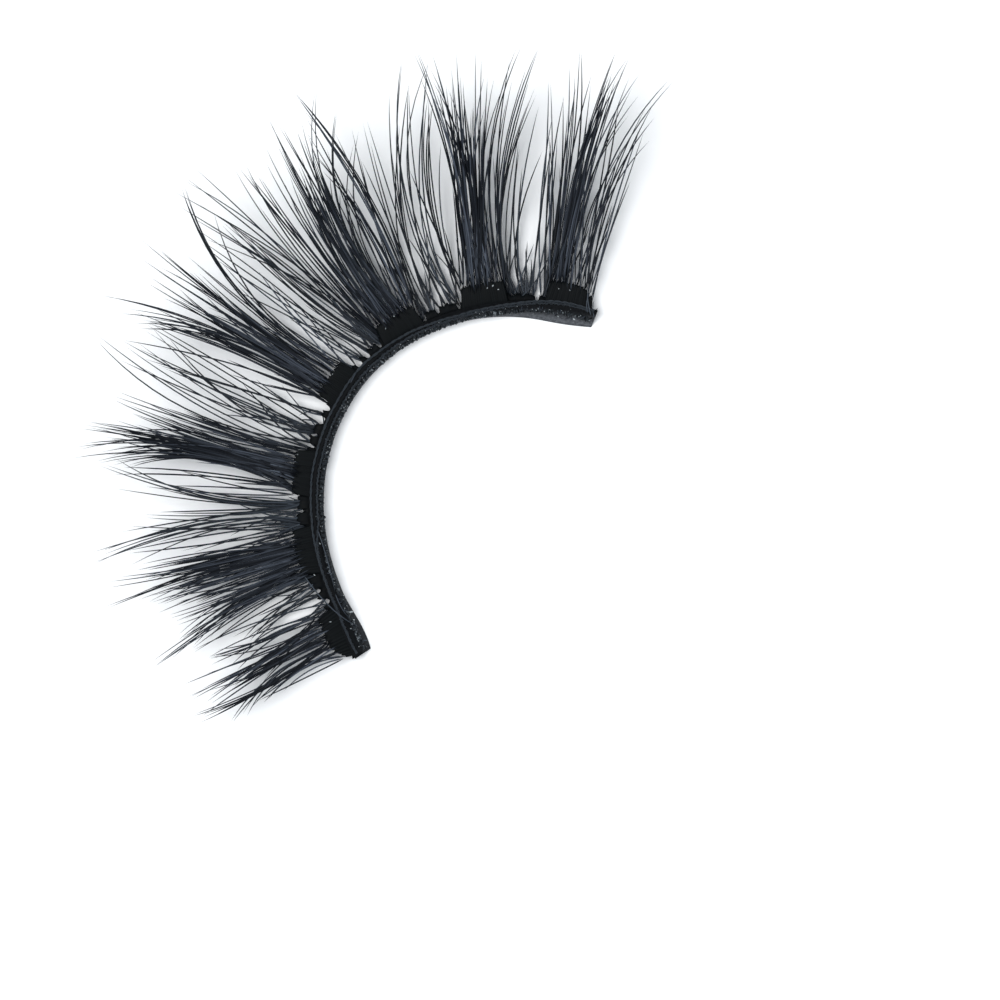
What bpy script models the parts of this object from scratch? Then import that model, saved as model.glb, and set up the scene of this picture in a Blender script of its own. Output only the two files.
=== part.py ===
"""One strip of false eyelashes, lying on its band as it does on a table.

A cotton band, bent as the edge of an eyelid, carries a binding thread, seven dense clusters of lash
fibre and the six fans of crossed fibres between them. +X runs along the chord of the band from the
inner corner's end to the outer corner's end, +Y points out along the lashes, +Z is up. The band
stands on z = 0, and the origin is below the middle of the whole strip.
"""

import math
from collections import namedtuple

import bmesh
import bpy
from mathutils import Vector

MM = 0.001

# Band: a ribbon on edge that leans outwards, more so in the twist at its two ends
BAND_LENGTH = 33.4 * MM
BAND_TURN = math.radians(145.6)
BAND_START_HEADING = math.radians(68.0)
BAND_WIDTH = 1.2 * MM
BAND_THICKNESS = 0.5 * MM
BAND_LEAN = math.radians(20.0)
BAND_END_LEAN = math.radians(48.0)
BAND_TWIST_LENGTH = 4.0 * MM

# Binding thread along the outer top edge of the band
THREAD_DIAMETER = 0.22 * MM
THREAD_END_INSET = 0.3 * MM

# Lash fibres: plan reach of the longest, and how they climb away from the band
LASH_LENGTH = 15.0 * MM
LASH_CURL_HEIGHT = 3.4 * MM
LASH_CURL_POWER = 2.2

# Clusters: a glued root block with flattened locks of fibre
CLUSTER_HEAD_DEPTH = 1.0 * MM
CLUSTER_HEAD_THICKNESS = 0.42 * MM
CLUSTER_LOCK_WIDTH = 0.38 * MM
CLUSTER_LOCK_THICKNESS = 0.2 * MM
CLUSTER_CLIMB = math.radians(8.0)

# Fans: a low web of glue with thin locks that cross each other
FAN_HEAD_DEPTH = 0.4 * MM
FAN_HEAD_THICKNESS = 0.28 * MM
FAN_LOCK_DIAMETER = 0.16 * MM
FAN_CLIMB = math.radians(2.0)

LOCK_TIP_RADIUS = 0.03 * MM
CLEARANCE = 0.05 * MM
WELD_DISTANCE = 0.0001 * MM

# Shares of the band's turn taken by its equal arcs, from the inner corner's end
BAND_ARC_TURNS = (0.11, 0.165, 0.185, 0.20, 0.165, 0.175)

# Width of a lock as a share of its widest, at even steps from root to tip
LOCK_TAPER = (0.8, 1.0, 0.9, 0.7, 0.45, 0.0)

Place = namedtuple("Place", "x y heading")
Material = namedtuple("Material", "name colour roughness")
Corner = namedtuple("Corner", "outward height")

# lean: degrees from the band's own normal, towards the outer corner; reach: share of LASH_LENGTH;
# bow: side step at mid-length as a share of the lock's reach, towards the inner corner
Lock = namedtuple("Lock", "lean reach bow")

# first, last: ends of the tuft as shares of the band's length; locks stand evenly between them
Tuft = namedtuple("Tuft", "first last locks")

CLUSTERS = (
    Tuft(0.005, 0.098, (
        Lock(7, 0.42, -0.06), Lock(1, 0.51, -0.07), Lock(-3, 0.61, -0.08), Lock(1, 0.73, 0.04),
        Lock(-1, 0.56, -0.02), Lock(1, 0.71, 0.01), Lock(-7, 0.66, -0.03), Lock(-3, 0.50, -0.02),
    )),
    Tuft(0.165, 0.248, (
        Lock(-9, 0.66, -0.05), Lock(-13, 0.80, -0.02), Lock(-6, 0.68, 0.02), Lock(-3, 0.71, 0.01),
        Lock(-4, 0.76, -0.01), Lock(-6, 0.90, -0.02), Lock(-4, 0.87, 0.01), Lock(-6, 0.74, 0.0),
        Lock(-6, 0.66, 0.02),
    )),
    Tuft(0.300, 0.380, (
        Lock(6, 0.99, -0.09), Lock(6, 0.98, -0.08), Lock(7, 0.87, -0.03), Lock(5, 0.97, -0.02),
        Lock(3, 0.89, 0.01), Lock(3, 0.84, 0.02), Lock(6, 0.87, 0.03), Lock(4, 0.66, 0.01),
    )),
    Tuft(0.468, 0.538, (
        Lock(-4, 1.05, -0.06), Lock(1, 0.92, 0.0), Lock(0, 0.92, 0.01), Lock(0, 0.99, 0.01),
        Lock(1, 1.03, 0.02), Lock(-1, 0.95, 0.02), Lock(-1, 0.85, 0.03), Lock(8, 1.05, 0.12),
    )),
    Tuft(0.608, 0.685, (
        Lock(-3, 0.95, 0.01), Lock(-3, 0.86, 0.03), Lock(0, 0.95, 0.05), Lock(0, 0.93, 0.03),
        Lock(-1, 1.05, 0.03), Lock(-2, 0.98, 0.02), Lock(0, 0.96, 0.07), Lock(4, 1.05, 0.13),
        Lock(-3, 1.08, -0.04),
    )),
    Tuft(0.762, 0.840, (
        Lock(3, 0.88, 0.07), Lock(0, 1.07, -0.05), Lock(1, 0.93, 0.0), Lock(4, 1.04, 0.02),
        Lock(2, 0.95, 0.01), Lock(0, 0.90, 0.01), Lock(3, 0.93, 0.08), Lock(3, 0.92, 0.04),
        Lock(6, 1.05, 0.09),
    )),
    Tuft(0.908, 0.990, (
        Lock(-1, 1.05, -0.03), Lock(0, 0.96, 0.0), Lock(2, 1.06, 0.04), Lock(3, 1.06, 0.05),
        Lock(0, 1.0, 0.04), Lock(3, 0.92, 0.07), Lock(-4, 0.88, -0.01), Lock(4, 1.02, 0.09),
        Lock(-1, 0.90, 0.05), Lock(-4, 0.79, 0.02),
    )),
)

FANS = (
    Tuft(0.108, 0.158, (
        Lock(-1, 0.57, 0.05), Lock(-4, 0.55, 0.06), Lock(-7, 0.41, -0.03), Lock(-6, 0.45, 0.02),
        Lock(-7, 0.62, -0.06), Lock(-8, 0.62, -0.06), Lock(-12, 0.54, -0.03),
    )),
    Tuft(0.254, 0.295, (
        Lock(-8, 0.77, -0.06), Lock(-7, 0.92, -0.07), Lock(-6, 0.92, -0.03), Lock(-9, 0.78, 0.0),
        Lock(-5, 0.79, -0.02), Lock(-2, 0.70, 0.06), Lock(4, 0.81, 0.06), Lock(8, 0.88, 0.07),
    )),
    Tuft(0.386, 0.462, (
        Lock(12, 1.02, 0.08), Lock(6, 0.89, 0.05), Lock(8, 0.91, 0.03), Lock(12, 0.83, 0.07),
        Lock(9, 0.85, 0.0), Lock(-3, 0.80, 0.0), Lock(4, 0.83, 0.03), Lock(-6, 0.91, -0.05),
    )),
    Tuft(0.544, 0.602, (
        Lock(-3, 0.73, 0.06), Lock(-11, 0.63, 0.01), Lock(-7, 0.84, 0.01), Lock(-7, 0.89, -0.04),
        Lock(-10, 0.84, 0.0), Lock(-10, 0.95, -0.01), Lock(-10, 1.07, -0.04), Lock(-8, 1.07, 0.0),
    )),
    Tuft(0.691, 0.756, (
        Lock(-2, 0.86, -0.01), Lock(0, 0.85, 0.07), Lock(2, 0.86, 0.02), Lock(7, 0.94, 0.07),
        Lock(9, 1.05, 0.08), Lock(7, 0.95, 0.06), Lock(10, 1.03, 0.12), Lock(-1, 0.93, 0.11),
    )),
    Tuft(0.846, 0.902, (
        Lock(6, 0.92, 0.08), Lock(5, 1.04, 0.10), Lock(-1, 0.75, 0.03), Lock(1, 0.81, 0.04),
        Lock(1, 0.91, -0.02), Lock(2, 0.86, -0.01), Lock(2, 0.91, 0.01),
    )),
)

BAND_SECTIONS = 40
HEAD_SECTIONS = 4
THREAD_POINTS = 34
SMOOTH_ANGLE = math.radians(35.0)

BAND_FINISH = Material("band_cotton", (0.012, 0.014, 0.018, 1.0), 0.75)
THREAD_FINISH = Material("binding_thread", (0.035, 0.042, 0.052, 1.0), 0.55)
CLUSTER_FINISH = Material("lash_fibre", (0.006, 0.008, 0.011, 1.0), 0.45)
FAN_FINISH = Material("lash_fibre_fine", (0.010, 0.013, 0.017, 1.0), 0.45)


def clear_scene():
    """Removes whatever the file starts with."""
    for old in list(bpy.data.objects):
        bpy.data.objects.remove(old, do_unlink=True)


def new_collection(name):
    """Makes a collection in the scene."""
    collection = bpy.data.collections.new(name)
    bpy.context.scene.collection.children.link(collection)
    return collection


def new_material(finish):
    """Makes a Principled material with one colour and one roughness."""
    material = bpy.data.materials.new(finish.name)
    material.use_nodes = True
    shader = material.node_tree.nodes["Principled BSDF"]
    shader.inputs["Base Color"].default_value = finish.colour
    shader.inputs["Roughness"].default_value = finish.roughness
    material.diffuse_color = finish.colour
    return material


def arc_step(length, heading, turn):
    """The step made by an arc that starts at a heading and turns clockwise."""
    half = turn / 2.0
    chord = length * (math.sin(half) / half if half else 1.0)
    return chord * math.cos(heading - half), chord * math.sin(heading - half)


def walk_band(share):
    """Follows the band's arcs from its first end to a share of its length."""
    arc_share = 1.0 / len(BAND_ARC_TURNS)
    x, y, heading = 0.0, 0.0, BAND_START_HEADING
    left = share
    for turn_share in BAND_ARC_TURNS:
        part = min(left, arc_share)
        turn = BAND_TURN * turn_share * part / arc_share
        step_x, step_y = arc_step(BAND_LENGTH * part, heading, turn)
        x += step_x
        y += step_y
        heading -= turn
        left -= part
    return Place(x, y, heading)


def band_place(share):
    """A place on the band, measured from the middle of its chord."""
    end = walk_band(1.0)
    here = walk_band(share)
    return Place(here.x - end.x / 2.0, here.y - end.y / 2.0, here.heading)


def band_lean(share):
    """How far the ribbon leans outwards: a smooth twist near each end."""
    twist_share = BAND_TWIST_LENGTH / BAND_LENGTH
    depth = max(0.0, 1.0 - min(share, 1.0 - share) / twist_share)
    ease = depth * depth * (3.0 - 2.0 * depth)
    return BAND_LEAN + (BAND_END_LEAN - BAND_LEAN) * ease


def band_top(share):
    """Height of the band's top edge."""
    return BAND_WIDTH * math.cos(band_lean(share))


def band_face(share, height, side):
    """Outward place of the band's outer (side 1) or inner (side -1) face at a height."""
    lean = band_lean(share)
    middle = (height - band_top(share) / 2.0) * math.tan(lean)
    return middle + side * BAND_THICKNESS / (2.0 * math.cos(lean))


def band_point(share, outward, height):
    """The point beside the band at an outward distance and a height."""
    place = band_place(share)
    return Vector((
        place.x - outward * math.sin(place.heading),
        place.y + outward * math.cos(place.heading),
        height,
    ))


def climb_at(distance, climb):
    """How far a fibre has climbed at a plan distance from its root."""
    curl = LASH_CURL_HEIGHT * (max(distance, 0.0) / LASH_LENGTH) ** LASH_CURL_POWER
    return distance * math.tan(climb) + curl


def cluster_root_height(share):
    """Middle height of a cluster's roots: just below the top of the band."""
    return band_top(share) - CLEARANCE - CLUSTER_HEAD_THICKNESS / 2.0


def fan_root_height(share):
    """Middle height of a fan's roots: under the clusters' locks, clear of them."""
    deepest = max(CLUSTER_HEAD_THICKNESS, CLUSTER_LOCK_THICKNESS) / 2.0
    thickest = max(FAN_HEAD_THICKNESS, FAN_LOCK_DIAMETER) / 2.0
    return cluster_root_height(share) - deepest - CLEARANCE - thickest


def band_section(share):
    """Corners of the band's section: a leaning strip with a level foot and a level top."""
    top = band_top(share)
    return (
        Corner(band_face(share, 0.0, -1), 0.0),
        Corner(band_face(share, 0.0, 1), 0.0),
        Corner(band_face(share, top, 1), top),
        Corner(band_face(share, top, -1), top),
    )


def head_section(share, root_height, depth, thickness, climb):
    """Corners of a root block's section, its inner side parallel to the band's face."""
    low = root_height - thickness / 2.0
    high = root_height + thickness / 2.0
    rise = climb_at(depth, climb)
    inner_low = band_face(share, low, 1) + CLEARANCE
    inner_high = band_face(share, high, 1) + CLEARANCE
    return (
        Corner(inner_low, low),
        Corner(inner_low + depth, low + rise),
        Corner(inner_high + depth, high + rise),
        Corner(inner_high, high),
    )


def loft_along_band(name, shares, section_at):
    """Lofts a closed strip through sections that change along the band."""
    build = bmesh.new()
    rings = []
    for share in shares:
        corners = [band_point(share, corner.outward, corner.height) for corner in section_at(share)]
        rings.append([build.verts.new(corner) for corner in corners])
    for ring, following in zip(rings, rings[1:]):
        for i in range(len(ring)):
            j = (i + 1) % len(ring)
            build.faces.new((ring[i], ring[j], following[j], following[i]))
    build.faces.new(reversed(rings[0]))
    build.faces.new(rings[-1])
    bmesh.ops.recalc_face_normals(build, faces=build.faces)
    mesh = bpy.data.meshes.new(name)
    build.to_mesh(mesh)
    build.free()
    return mesh


def even_shares(first, last, count):
    """Shares of the band at even steps from first to last."""
    return [first + (last - first) * i / (count - 1) for i in range(count)]


def add_object(name, data, collection, material=None):
    """Links an object to a collection and gives it its material."""
    piece = bpy.data.objects.new(name, data)
    collection.objects.link(piece)
    if material:
        data.materials.append(material)
    return piece


def lock_points(lock, share, root_height, depth, climb):
    """Points of one lock from inside its root block to its tip, with the taper's radius share."""
    start = band_face(share, root_height, 1) + CLEARANCE + depth / 2.0
    root = band_point(share, start, root_height)
    direction = band_place(share).heading + math.pi / 2.0 - math.radians(lock.lean)
    along = Vector((math.cos(direction), math.sin(direction), 0.0))
    aside = Vector((-along.y, along.x, 0.0))
    reach = lock.reach * LASH_LENGTH - start
    points = []
    for i, taper in enumerate(LOCK_TAPER):
        step = i / (len(LOCK_TAPER) - 1)
        sideways = lock.bow * reach * 4.0 * step * (1.0 - step)
        distance = reach * step
        height = climb_at(distance + depth / 2.0, climb)
        points.append((root + along * distance + aside * sideways + Vector((0.0, 0.0, height)), taper))
    return points


def lock_profile(name, width, thickness, guides):
    """The six-sided outline that a lock carries along its length."""
    outline = bpy.data.curves.new(name, "CURVE")
    outline.dimensions = "2D"
    spline = outline.splines.new("POLY")
    sides = 6
    spline.points.add(sides - 1)
    for i, point in enumerate(spline.points):
        angle = math.tau * i / sides
        point.co = (math.cos(angle) * width / 2.0, math.sin(angle) * thickness / 2.0, 0.0, 1.0)
    spline.use_cyclic_u = True
    guide = add_object(name, outline, guides)
    guide.hide_render = True
    guide.display_type = "WIRE"
    return guide


def locks_mesh(name, tuft, root_height_at, depth, climb, profile, widest):
    """The closed bodies of all the locks of a tuft, swept as one curve object and made a mesh."""
    data = bpy.data.curves.new(name, "CURVE")
    data.dimensions = "3D"
    data.bevel_mode = "OBJECT"
    data.bevel_object = profile
    data.use_fill_caps = True
    data.twist_mode = "Z_UP"
    count = len(tuft.locks)
    for i, lock in enumerate(tuft.locks):
        share = tuft.first + (tuft.last - tuft.first) * (i + 0.5) / count
        points = lock_points(lock, share, root_height_at(share), depth, climb)
        spline = data.splines.new("POLY")
        spline.points.add(len(points) - 1)
        for target, (place, taper) in zip(spline.points, points):
            target.co = (*place, 1.0)
            target.radius = max(taper, 2.0 * LOCK_TIP_RADIUS / widest)
    sweep = bpy.data.objects.new(name, data)
    bpy.context.scene.collection.objects.link(sweep)
    evaluated = sweep.evaluated_get(bpy.context.evaluated_depsgraph_get())
    mesh = bpy.data.meshes.new_from_object(evaluated)
    bpy.data.objects.remove(sweep, do_unlink=True)
    build = bmesh.new()
    build.from_mesh(mesh)
    bmesh.ops.remove_doubles(build, verts=build.verts, dist=WELD_DISTANCE)
    bmesh.ops.recalc_face_normals(build, faces=build.faces)
    build.to_mesh(mesh)
    build.free()
    return mesh


def add_tuft(name, tuft, sizes, parts, guides, material, profile):
    """A root block with its locks fused to it by a Boolean union."""
    def section_at(share):
        return head_section(share, sizes.root_height_at(share), sizes.depth, sizes.thickness, sizes.climb)

    shares = even_shares(tuft.first, tuft.last, HEAD_SECTIONS)
    head = add_object(name, loft_along_band(name, shares, section_at), parts, material)
    mesh = locks_mesh(
        f"{name}_locks", tuft, sizes.root_height_at, sizes.depth, sizes.climb, profile, sizes.lock_width
    )
    locks = add_object(f"{name}_locks", mesh, guides, material)
    locks.hide_render = True
    locks.display_type = "WIRE"
    for data in (head.data, locks.data):
        data.shade_smooth()
        data.set_sharp_from_angle(angle=SMOOTH_ANGLE)
    union = head.modifiers.new("fuse_locks", "BOOLEAN")
    union.operation = "UNION"
    union.solver = "EXACT"
    union.use_self = True
    union.object = locks
    return head


TuftSizes = namedtuple("TuftSizes", "root_height_at depth thickness climb lock_width lock_thickness")

CLUSTER_SIZES = TuftSizes(
    cluster_root_height, CLUSTER_HEAD_DEPTH, CLUSTER_HEAD_THICKNESS, CLUSTER_CLIMB,
    CLUSTER_LOCK_WIDTH, CLUSTER_LOCK_THICKNESS,
)
FAN_SIZES = TuftSizes(
    fan_root_height, FAN_HEAD_DEPTH, FAN_HEAD_THICKNESS, FAN_CLIMB,
    FAN_LOCK_DIAMETER, FAN_LOCK_DIAMETER,
)


def add_tufts(stem, tufts, sizes, parts, guides, material):
    """Adds each tuft of one kind, numbered from the inner corner."""
    profile = lock_profile(f"{stem}_profile", sizes.lock_width, sizes.lock_thickness, guides)
    for number, tuft in enumerate(tufts, start=1):
        add_tuft(f"{stem}_{number}", tuft, sizes, parts, guides, material, profile)


def add_band(parts, material):
    """The cotton band."""
    mesh = loft_along_band("lash_band", even_shares(0.0, 1.0, BAND_SECTIONS), band_section)
    mesh.shade_smooth()
    mesh.set_sharp_from_angle(angle=SMOOTH_ANGLE)
    return add_object("lash_band", mesh, parts, material)


def add_thread(parts, material):
    """The binding thread, lying on the band's top along its outer edge."""
    data = bpy.data.curves.new("binding_thread", "CURVE")
    data.dimensions = "3D"
    data.bevel_depth = THREAD_DIAMETER / 2.0
    data.bevel_resolution = 2
    data.use_fill_caps = True
    spline = data.splines.new("POLY")
    spline.points.add(THREAD_POINTS - 1)
    inset = THREAD_END_INSET / BAND_LENGTH
    for target, share in zip(spline.points, even_shares(inset, 1.0 - inset, THREAD_POINTS)):
        top = band_top(share)
        outward = band_face(share, top, 1) - THREAD_DIAMETER / 2.0
        place = band_point(share, outward, top + CLEARANCE + THREAD_DIAMETER / 2.0)
        target.co = (*place, 1.0)
    return add_object("binding_thread", data, parts, material)


def centre_on_origin(parts, guides):
    """Hangs every piece on an empty that puts the middle of the strip's foot at the origin."""
    depsgraph = bpy.context.evaluated_depsgraph_get()
    places = []
    for piece in parts.objects:
        evaluated = piece.evaluated_get(depsgraph)
        places.extend(vertex.co.copy() for vertex in evaluated.to_mesh().vertices)
        evaluated.to_mesh_clear()
    middle = [(min(c[axis] for c in places) + max(c[axis] for c in places)) / 2.0 for axis in (0, 1)]
    anchor = bpy.data.objects.new("strip_centre", None)
    anchor.location = (-middle[0], -middle[1], 0.0)
    for piece in list(parts.objects) + list(guides.objects):
        piece.parent = anchor
    parts.objects.link(anchor)


def main():
    """Builds the strip."""
    clear_scene()
    parts = new_collection("false_eyelash_strip")
    guides = new_collection("guides")
    add_band(parts, new_material(BAND_FINISH))
    add_thread(parts, new_material(THREAD_FINISH))
    add_tufts("lash_cluster", CLUSTERS, CLUSTER_SIZES, parts, guides, new_material(CLUSTER_FINISH))
    add_tufts("crossed_fan", FANS, FAN_SIZES, parts, guides, new_material(FAN_FINISH))
    centre_on_origin(parts, guides)


main()
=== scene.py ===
"""Looks of one strip of false eyelashes that lies on its band on a pale table.

The strip's pieces are built along one path, the edge of an eyelid: the knotted cotton band with its
glue and binding thread, seven dense clusters of lash fibre, and the crossed fans between them. All
lengths are in metres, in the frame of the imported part; the charts give millimetres on the plan,
measured from the middle of the band's chord.
"""

from __future__ import annotations

import logging
import math
from dataclasses import dataclass, field
from enum import Enum
from functools import cache, cached_property
from typing import NamedTuple, Sequence

import bmesh
import bpy
import numpy as np
from mathutils import Matrix, Vector

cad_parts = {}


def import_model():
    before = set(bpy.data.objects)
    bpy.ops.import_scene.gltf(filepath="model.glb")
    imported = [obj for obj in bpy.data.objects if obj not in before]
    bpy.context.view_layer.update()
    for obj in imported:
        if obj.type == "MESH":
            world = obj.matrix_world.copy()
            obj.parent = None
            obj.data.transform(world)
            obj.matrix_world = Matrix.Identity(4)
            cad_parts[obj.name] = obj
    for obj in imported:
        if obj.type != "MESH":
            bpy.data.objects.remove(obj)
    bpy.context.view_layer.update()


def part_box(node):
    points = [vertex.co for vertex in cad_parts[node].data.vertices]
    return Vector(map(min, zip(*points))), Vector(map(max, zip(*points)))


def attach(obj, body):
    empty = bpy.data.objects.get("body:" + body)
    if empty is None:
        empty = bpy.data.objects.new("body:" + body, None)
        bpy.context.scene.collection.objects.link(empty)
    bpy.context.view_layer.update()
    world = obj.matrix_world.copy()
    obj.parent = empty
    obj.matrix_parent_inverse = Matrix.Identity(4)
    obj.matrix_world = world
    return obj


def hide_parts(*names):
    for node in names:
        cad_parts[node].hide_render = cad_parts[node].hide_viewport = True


MM = 0.001
LOG = logging.getLogger("eyelash_strip")


class Rgb(NamedTuple):
    """A linear colour."""

    red: float
    green: float
    blue: float

    def rgba(self) -> tuple[float, float, float, float]:
        """The colour with full alpha."""
        return (self.red, self.green, self.blue, 1.0)


# Nodes


@dataclass(frozen=True)
class Socket:
    """A node socket whose arithmetic adds Math nodes to the same tree."""

    tree: "Tree"
    link: bpy.types.NodeSocket

    def _math(self, operation: str, left: "Value", right: "Value" = 0.0) -> "Socket":
        """Adds one Math node.

        Args:
            operation: Math node operation.
            left: first operand.
            right: second operand.

        Returns:
            The node's output.
        """
        return self.tree.add("ShaderNodeMath", {"operation": operation}, {0: left, 1: right})

    def __add__(self, other: "Value") -> "Socket":
        """Sum."""
        return self._math("ADD", self, other)

    def __radd__(self, other: "Value") -> "Socket":
        """Reflected sum."""
        return self._math("ADD", other, self)

    def __sub__(self, other: "Value") -> "Socket":
        """Difference."""
        return self._math("SUBTRACT", self, other)

    def __rsub__(self, other: "Value") -> "Socket":
        """Reflected difference."""
        return self._math("SUBTRACT", other, self)

    def __mul__(self, other: "Value") -> "Socket":
        """Product."""
        return self._math("MULTIPLY", self, other)

    def __rmul__(self, other: "Value") -> "Socket":
        """Reflected product."""
        return self._math("MULTIPLY", other, self)

    def __rtruediv__(self, other: "Value") -> "Socket":
        """Reflected quotient."""
        return self._math("DIVIDE", other, self)

    def __pow__(self, other: "Value") -> "Socket":
        """Power."""
        return self._math("POWER", self, other)


Value = Socket | float | int | bool | str | Vector | tuple


@dataclass
class Tree:
    """Adds nodes and links to one shader or geometry tree."""

    nodes: bpy.types.NodeTree

    def add(self, kind: str, settings: dict | None = None, inputs: dict | None = None,
            output: int | str = 0) -> Socket:
        """Adds a node.

        Args:
            kind: node type.
            settings: properties that are set before the sockets.
            inputs: values or sockets by input name or number.
            output: name or number of the output to return.

        Returns:
            The chosen output.
        """
        node = self.nodes.nodes.new(kind)
        for name, value in (settings or {}).items():
            setattr(node, name, value)
        for name, value in (inputs or {}).items():
            self.feed(node.inputs[name], value)
        return Socket(self, node.outputs[output])

    def feed(self, target: bpy.types.NodeSocket, value: Value) -> None:
        """Links or sets one input.

        Args:
            target: the input socket.
            value: a socket to link or a constant to set.
        """
        if isinstance(value, Socket):
            self.nodes.links.new(value.link, target)
        else:
            target.default_value = value

    def blend(self, kind: str, factor: Value, first: Value, second: Value) -> Socket:
        """Mixes two colours or two vectors.

        Args:
            kind: RGBA or VECTOR.
            factor: share of the second value.
            first: value at factor 0.
            second: value at factor 1.

        Returns:
            The mixed value.
        """
        sockets = {"RGBA": (6, 7, 2), "VECTOR": (4, 5, 1)}[kind]
        return self.add("ShaderNodeMix", {"data_type": kind},
                        {0: factor, sockets[0]: first, sockets[1]: second}, sockets[2])

    def scaled(self, vector: Value, amount: Value) -> Socket:
        """A vector times a number."""
        return self.add("ShaderNodeVectorMath", {"operation": "SCALE"}, {0: vector, "Scale": amount})

    def ramp(self, factor: Value, stops: Sequence[tuple[float, float]]) -> Socket:
        """A grey ramp.

        Args:
            factor: what the ramp reads.
            stops: positions with their grey values.

        Returns:
            The ramp's colour output.
        """
        node = self.nodes.nodes.new("ShaderNodeValToRGB")
        elements = node.color_ramp.elements
        while len(elements) < len(stops):
            elements.new(0.5)
        for element, (position, grey) in zip(elements, stops):
            element.position = position
            element.color = (grey, grey, grey, 1.0)
        self.feed(node.inputs[0], factor)
        return Socket(self, node.outputs[0])

    def attribute(self, name: str, kind: str = "FLOAT") -> Socket:
        """A named attribute of the points."""
        return self.add("GeometryNodeInputNamedAttribute", {"data_type": kind}, {"Name": name})

    def sweep(self, curve: Socket, sides: Socket, width: Socket) -> Socket:
        """Makes a tube along each curve.

        Args:
            curve: the curves.
            sides: corners of the tube's section.
            width: the tube's width, which may change along the curve.

        Returns:
            The tubes.
        """
        outline = self.add("GeometryNodeCurvePrimitiveCircle", {}, {"Resolution": sides, "Radius": 0.5})
        return self.add("GeometryNodeCurveToMesh", {},
                        {"Curve": curve, "Profile Curve": outline, "Scale": width})

    @classmethod
    def open_group(cls, name: str, inputs: dict[str, str]) -> tuple["Tree", dict[str, Socket]]:
        """Starts a geometry tree with named inputs.

        Args:
            name: name of the tree.
            inputs: the kind of each input, such as Float, by its name.

        Returns:
            The tree, and its inputs' sockets by name.
        """
        group = bpy.data.node_groups.new(name, "GeometryNodeTree")
        for title, kind in inputs.items():
            group.interface.new_socket(title, in_out="INPUT", socket_type=f"NodeSocket{kind}")
        group.interface.new_socket("Geometry", in_out="OUTPUT", socket_type="NodeSocketGeometry")
        tree = cls(group)
        source = group.nodes.new("NodeGroupInput")
        return tree, {item.name: Socket(tree, item) for item in source.outputs if item.name}

    def close_group(self, geometry: Socket, finish: Socket) -> bpy.types.NodeTree:
        """Ends a geometry tree: smooth, made real, and with its material.

        Args:
            geometry: what the tree has made.
            finish: the material's socket.

        Returns:
            The finished tree.
        """
        geometry = self.add("GeometryNodeSetShadeSmooth", {}, {"Geometry": geometry})
        geometry = self.add("GeometryNodeRealizeInstances", {}, {"Geometry": geometry})
        geometry = self.add("GeometryNodeSetMaterial", {}, {"Geometry": geometry, "Material": finish})
        self.feed(self.nodes.nodes.new("NodeGroupOutput").inputs[0], geometry)
        return self.nodes


# Finishes


class Coordinates(Enum):
    """What a finish's pattern follows."""

    PLACE = "Object"
    SURFACE = "UV"


@dataclass(frozen=True)
class Finish:
    """A dark fibrous finish: two colours mixed by a stretched noise, with streaks in its relief."""

    name: str
    dark: Rgb
    light: Rgb
    follows: Coordinates
    grain: tuple[float, float, float]
    light_share: float = 0.5
    roughness: tuple[float, float] = (0.35, 0.5)
    specular: float = 0.3
    coat: float = 0.0
    coat_roughness: float = 0.1
    sheen: float = 0.0
    sheen_roughness: float = 0.4
    relief: float = 0.2
    relief_height: float = 0.02 * MM
    # Painted glints: bright specks of their own colour, spread by a second noise, that stand in for
    # highlights.
    painted_glint: Rgb | None = None
    painted_glint_scale: float = 0.8
    painted_glint_start: float = 0.60
    painted_glint_softness: float = 0.06
    tone_share: float = 0.0
    tone_grain: float = 0.6

    @cache
    def make(self) -> bpy.types.Material:
        """Builds the material, once.

        Returns:
            The material.
        """
        material = bpy.data.materials.new(self.name)
        material.use_nodes = True
        tree = Tree(material.node_tree)
        place = tree.add("ShaderNodeTexCoord", output=self.follows.value)
        stretched = tree.add("ShaderNodeMapping", {"vector_type": "POINT"},
                             {"Vector": place, "Scale": self.grain})
        grain = tree.add("ShaderNodeTexNoise", {"noise_dimensions": "3D"},
                         {"Vector": stretched, "Scale": 1.0, "Detail": 4.0, "Roughness": 0.6})
        share = tree.ramp(grain, ((0.32, 0.0), (0.72, 1.0)))
        tint = share * self.light_share
        # The "tone" attribute mixes in the light colour: on the hairs it is partly painted sheen, on the
        # ribbon painted light on its lower inner face.
        if self.tone_share:
            tone = tree.add("ShaderNodeAttribute", {"attribute_name": "tone"}, output="Fac")
            toned = tone * (share * self.tone_grain + (1.0 - self.tone_grain))
            tint = tint * (1.0 - self.tone_share) + toned * self.tone_share
        colour = tree.blend("RGBA", tint, self.dark.rgba(), self.light.rgba())
        # Painted glints: bright specks mixed into the colour.
        if self.painted_glint:
            glint_dots = tree.add("ShaderNodeTexNoise", {}, {"Vector": stretched, "Scale": self.painted_glint_scale,
                                                       "Detail": 1.0, "Roughness": 0.7})
            stops = ((self.painted_glint_start, 0.0), (self.painted_glint_start + self.painted_glint_softness, 1.0))
            colour = tree.blend("RGBA", tree.ramp(glint_dots, stops), colour, self.painted_glint.rgba())
        low, high = self.roughness
        bump = tree.add("ShaderNodeBump", {}, {"Strength": self.relief, "Distance": self.relief_height,
                                               "Height": grain})
        looks = {
            "Base Color": colour, "Roughness": share * (high - low) + low, "Normal": bump,
            "Specular IOR Level": self.specular, "Coat Weight": self.coat,
            "Coat Roughness": self.coat_roughness, "Sheen Weight": self.sheen,
            "Sheen Roughness": self.sheen_roughness,
        }
        shader = material.node_tree.nodes["Principled BSDF"]
        for name, value in looks.items():
            tree.feed(shader.inputs[name], value)
        return material


# The fibres' light colours, mixed in by each hair's random tone, are partly painted sheen: lighter hairs
# stand in for glints on glossy fibre.
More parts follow.
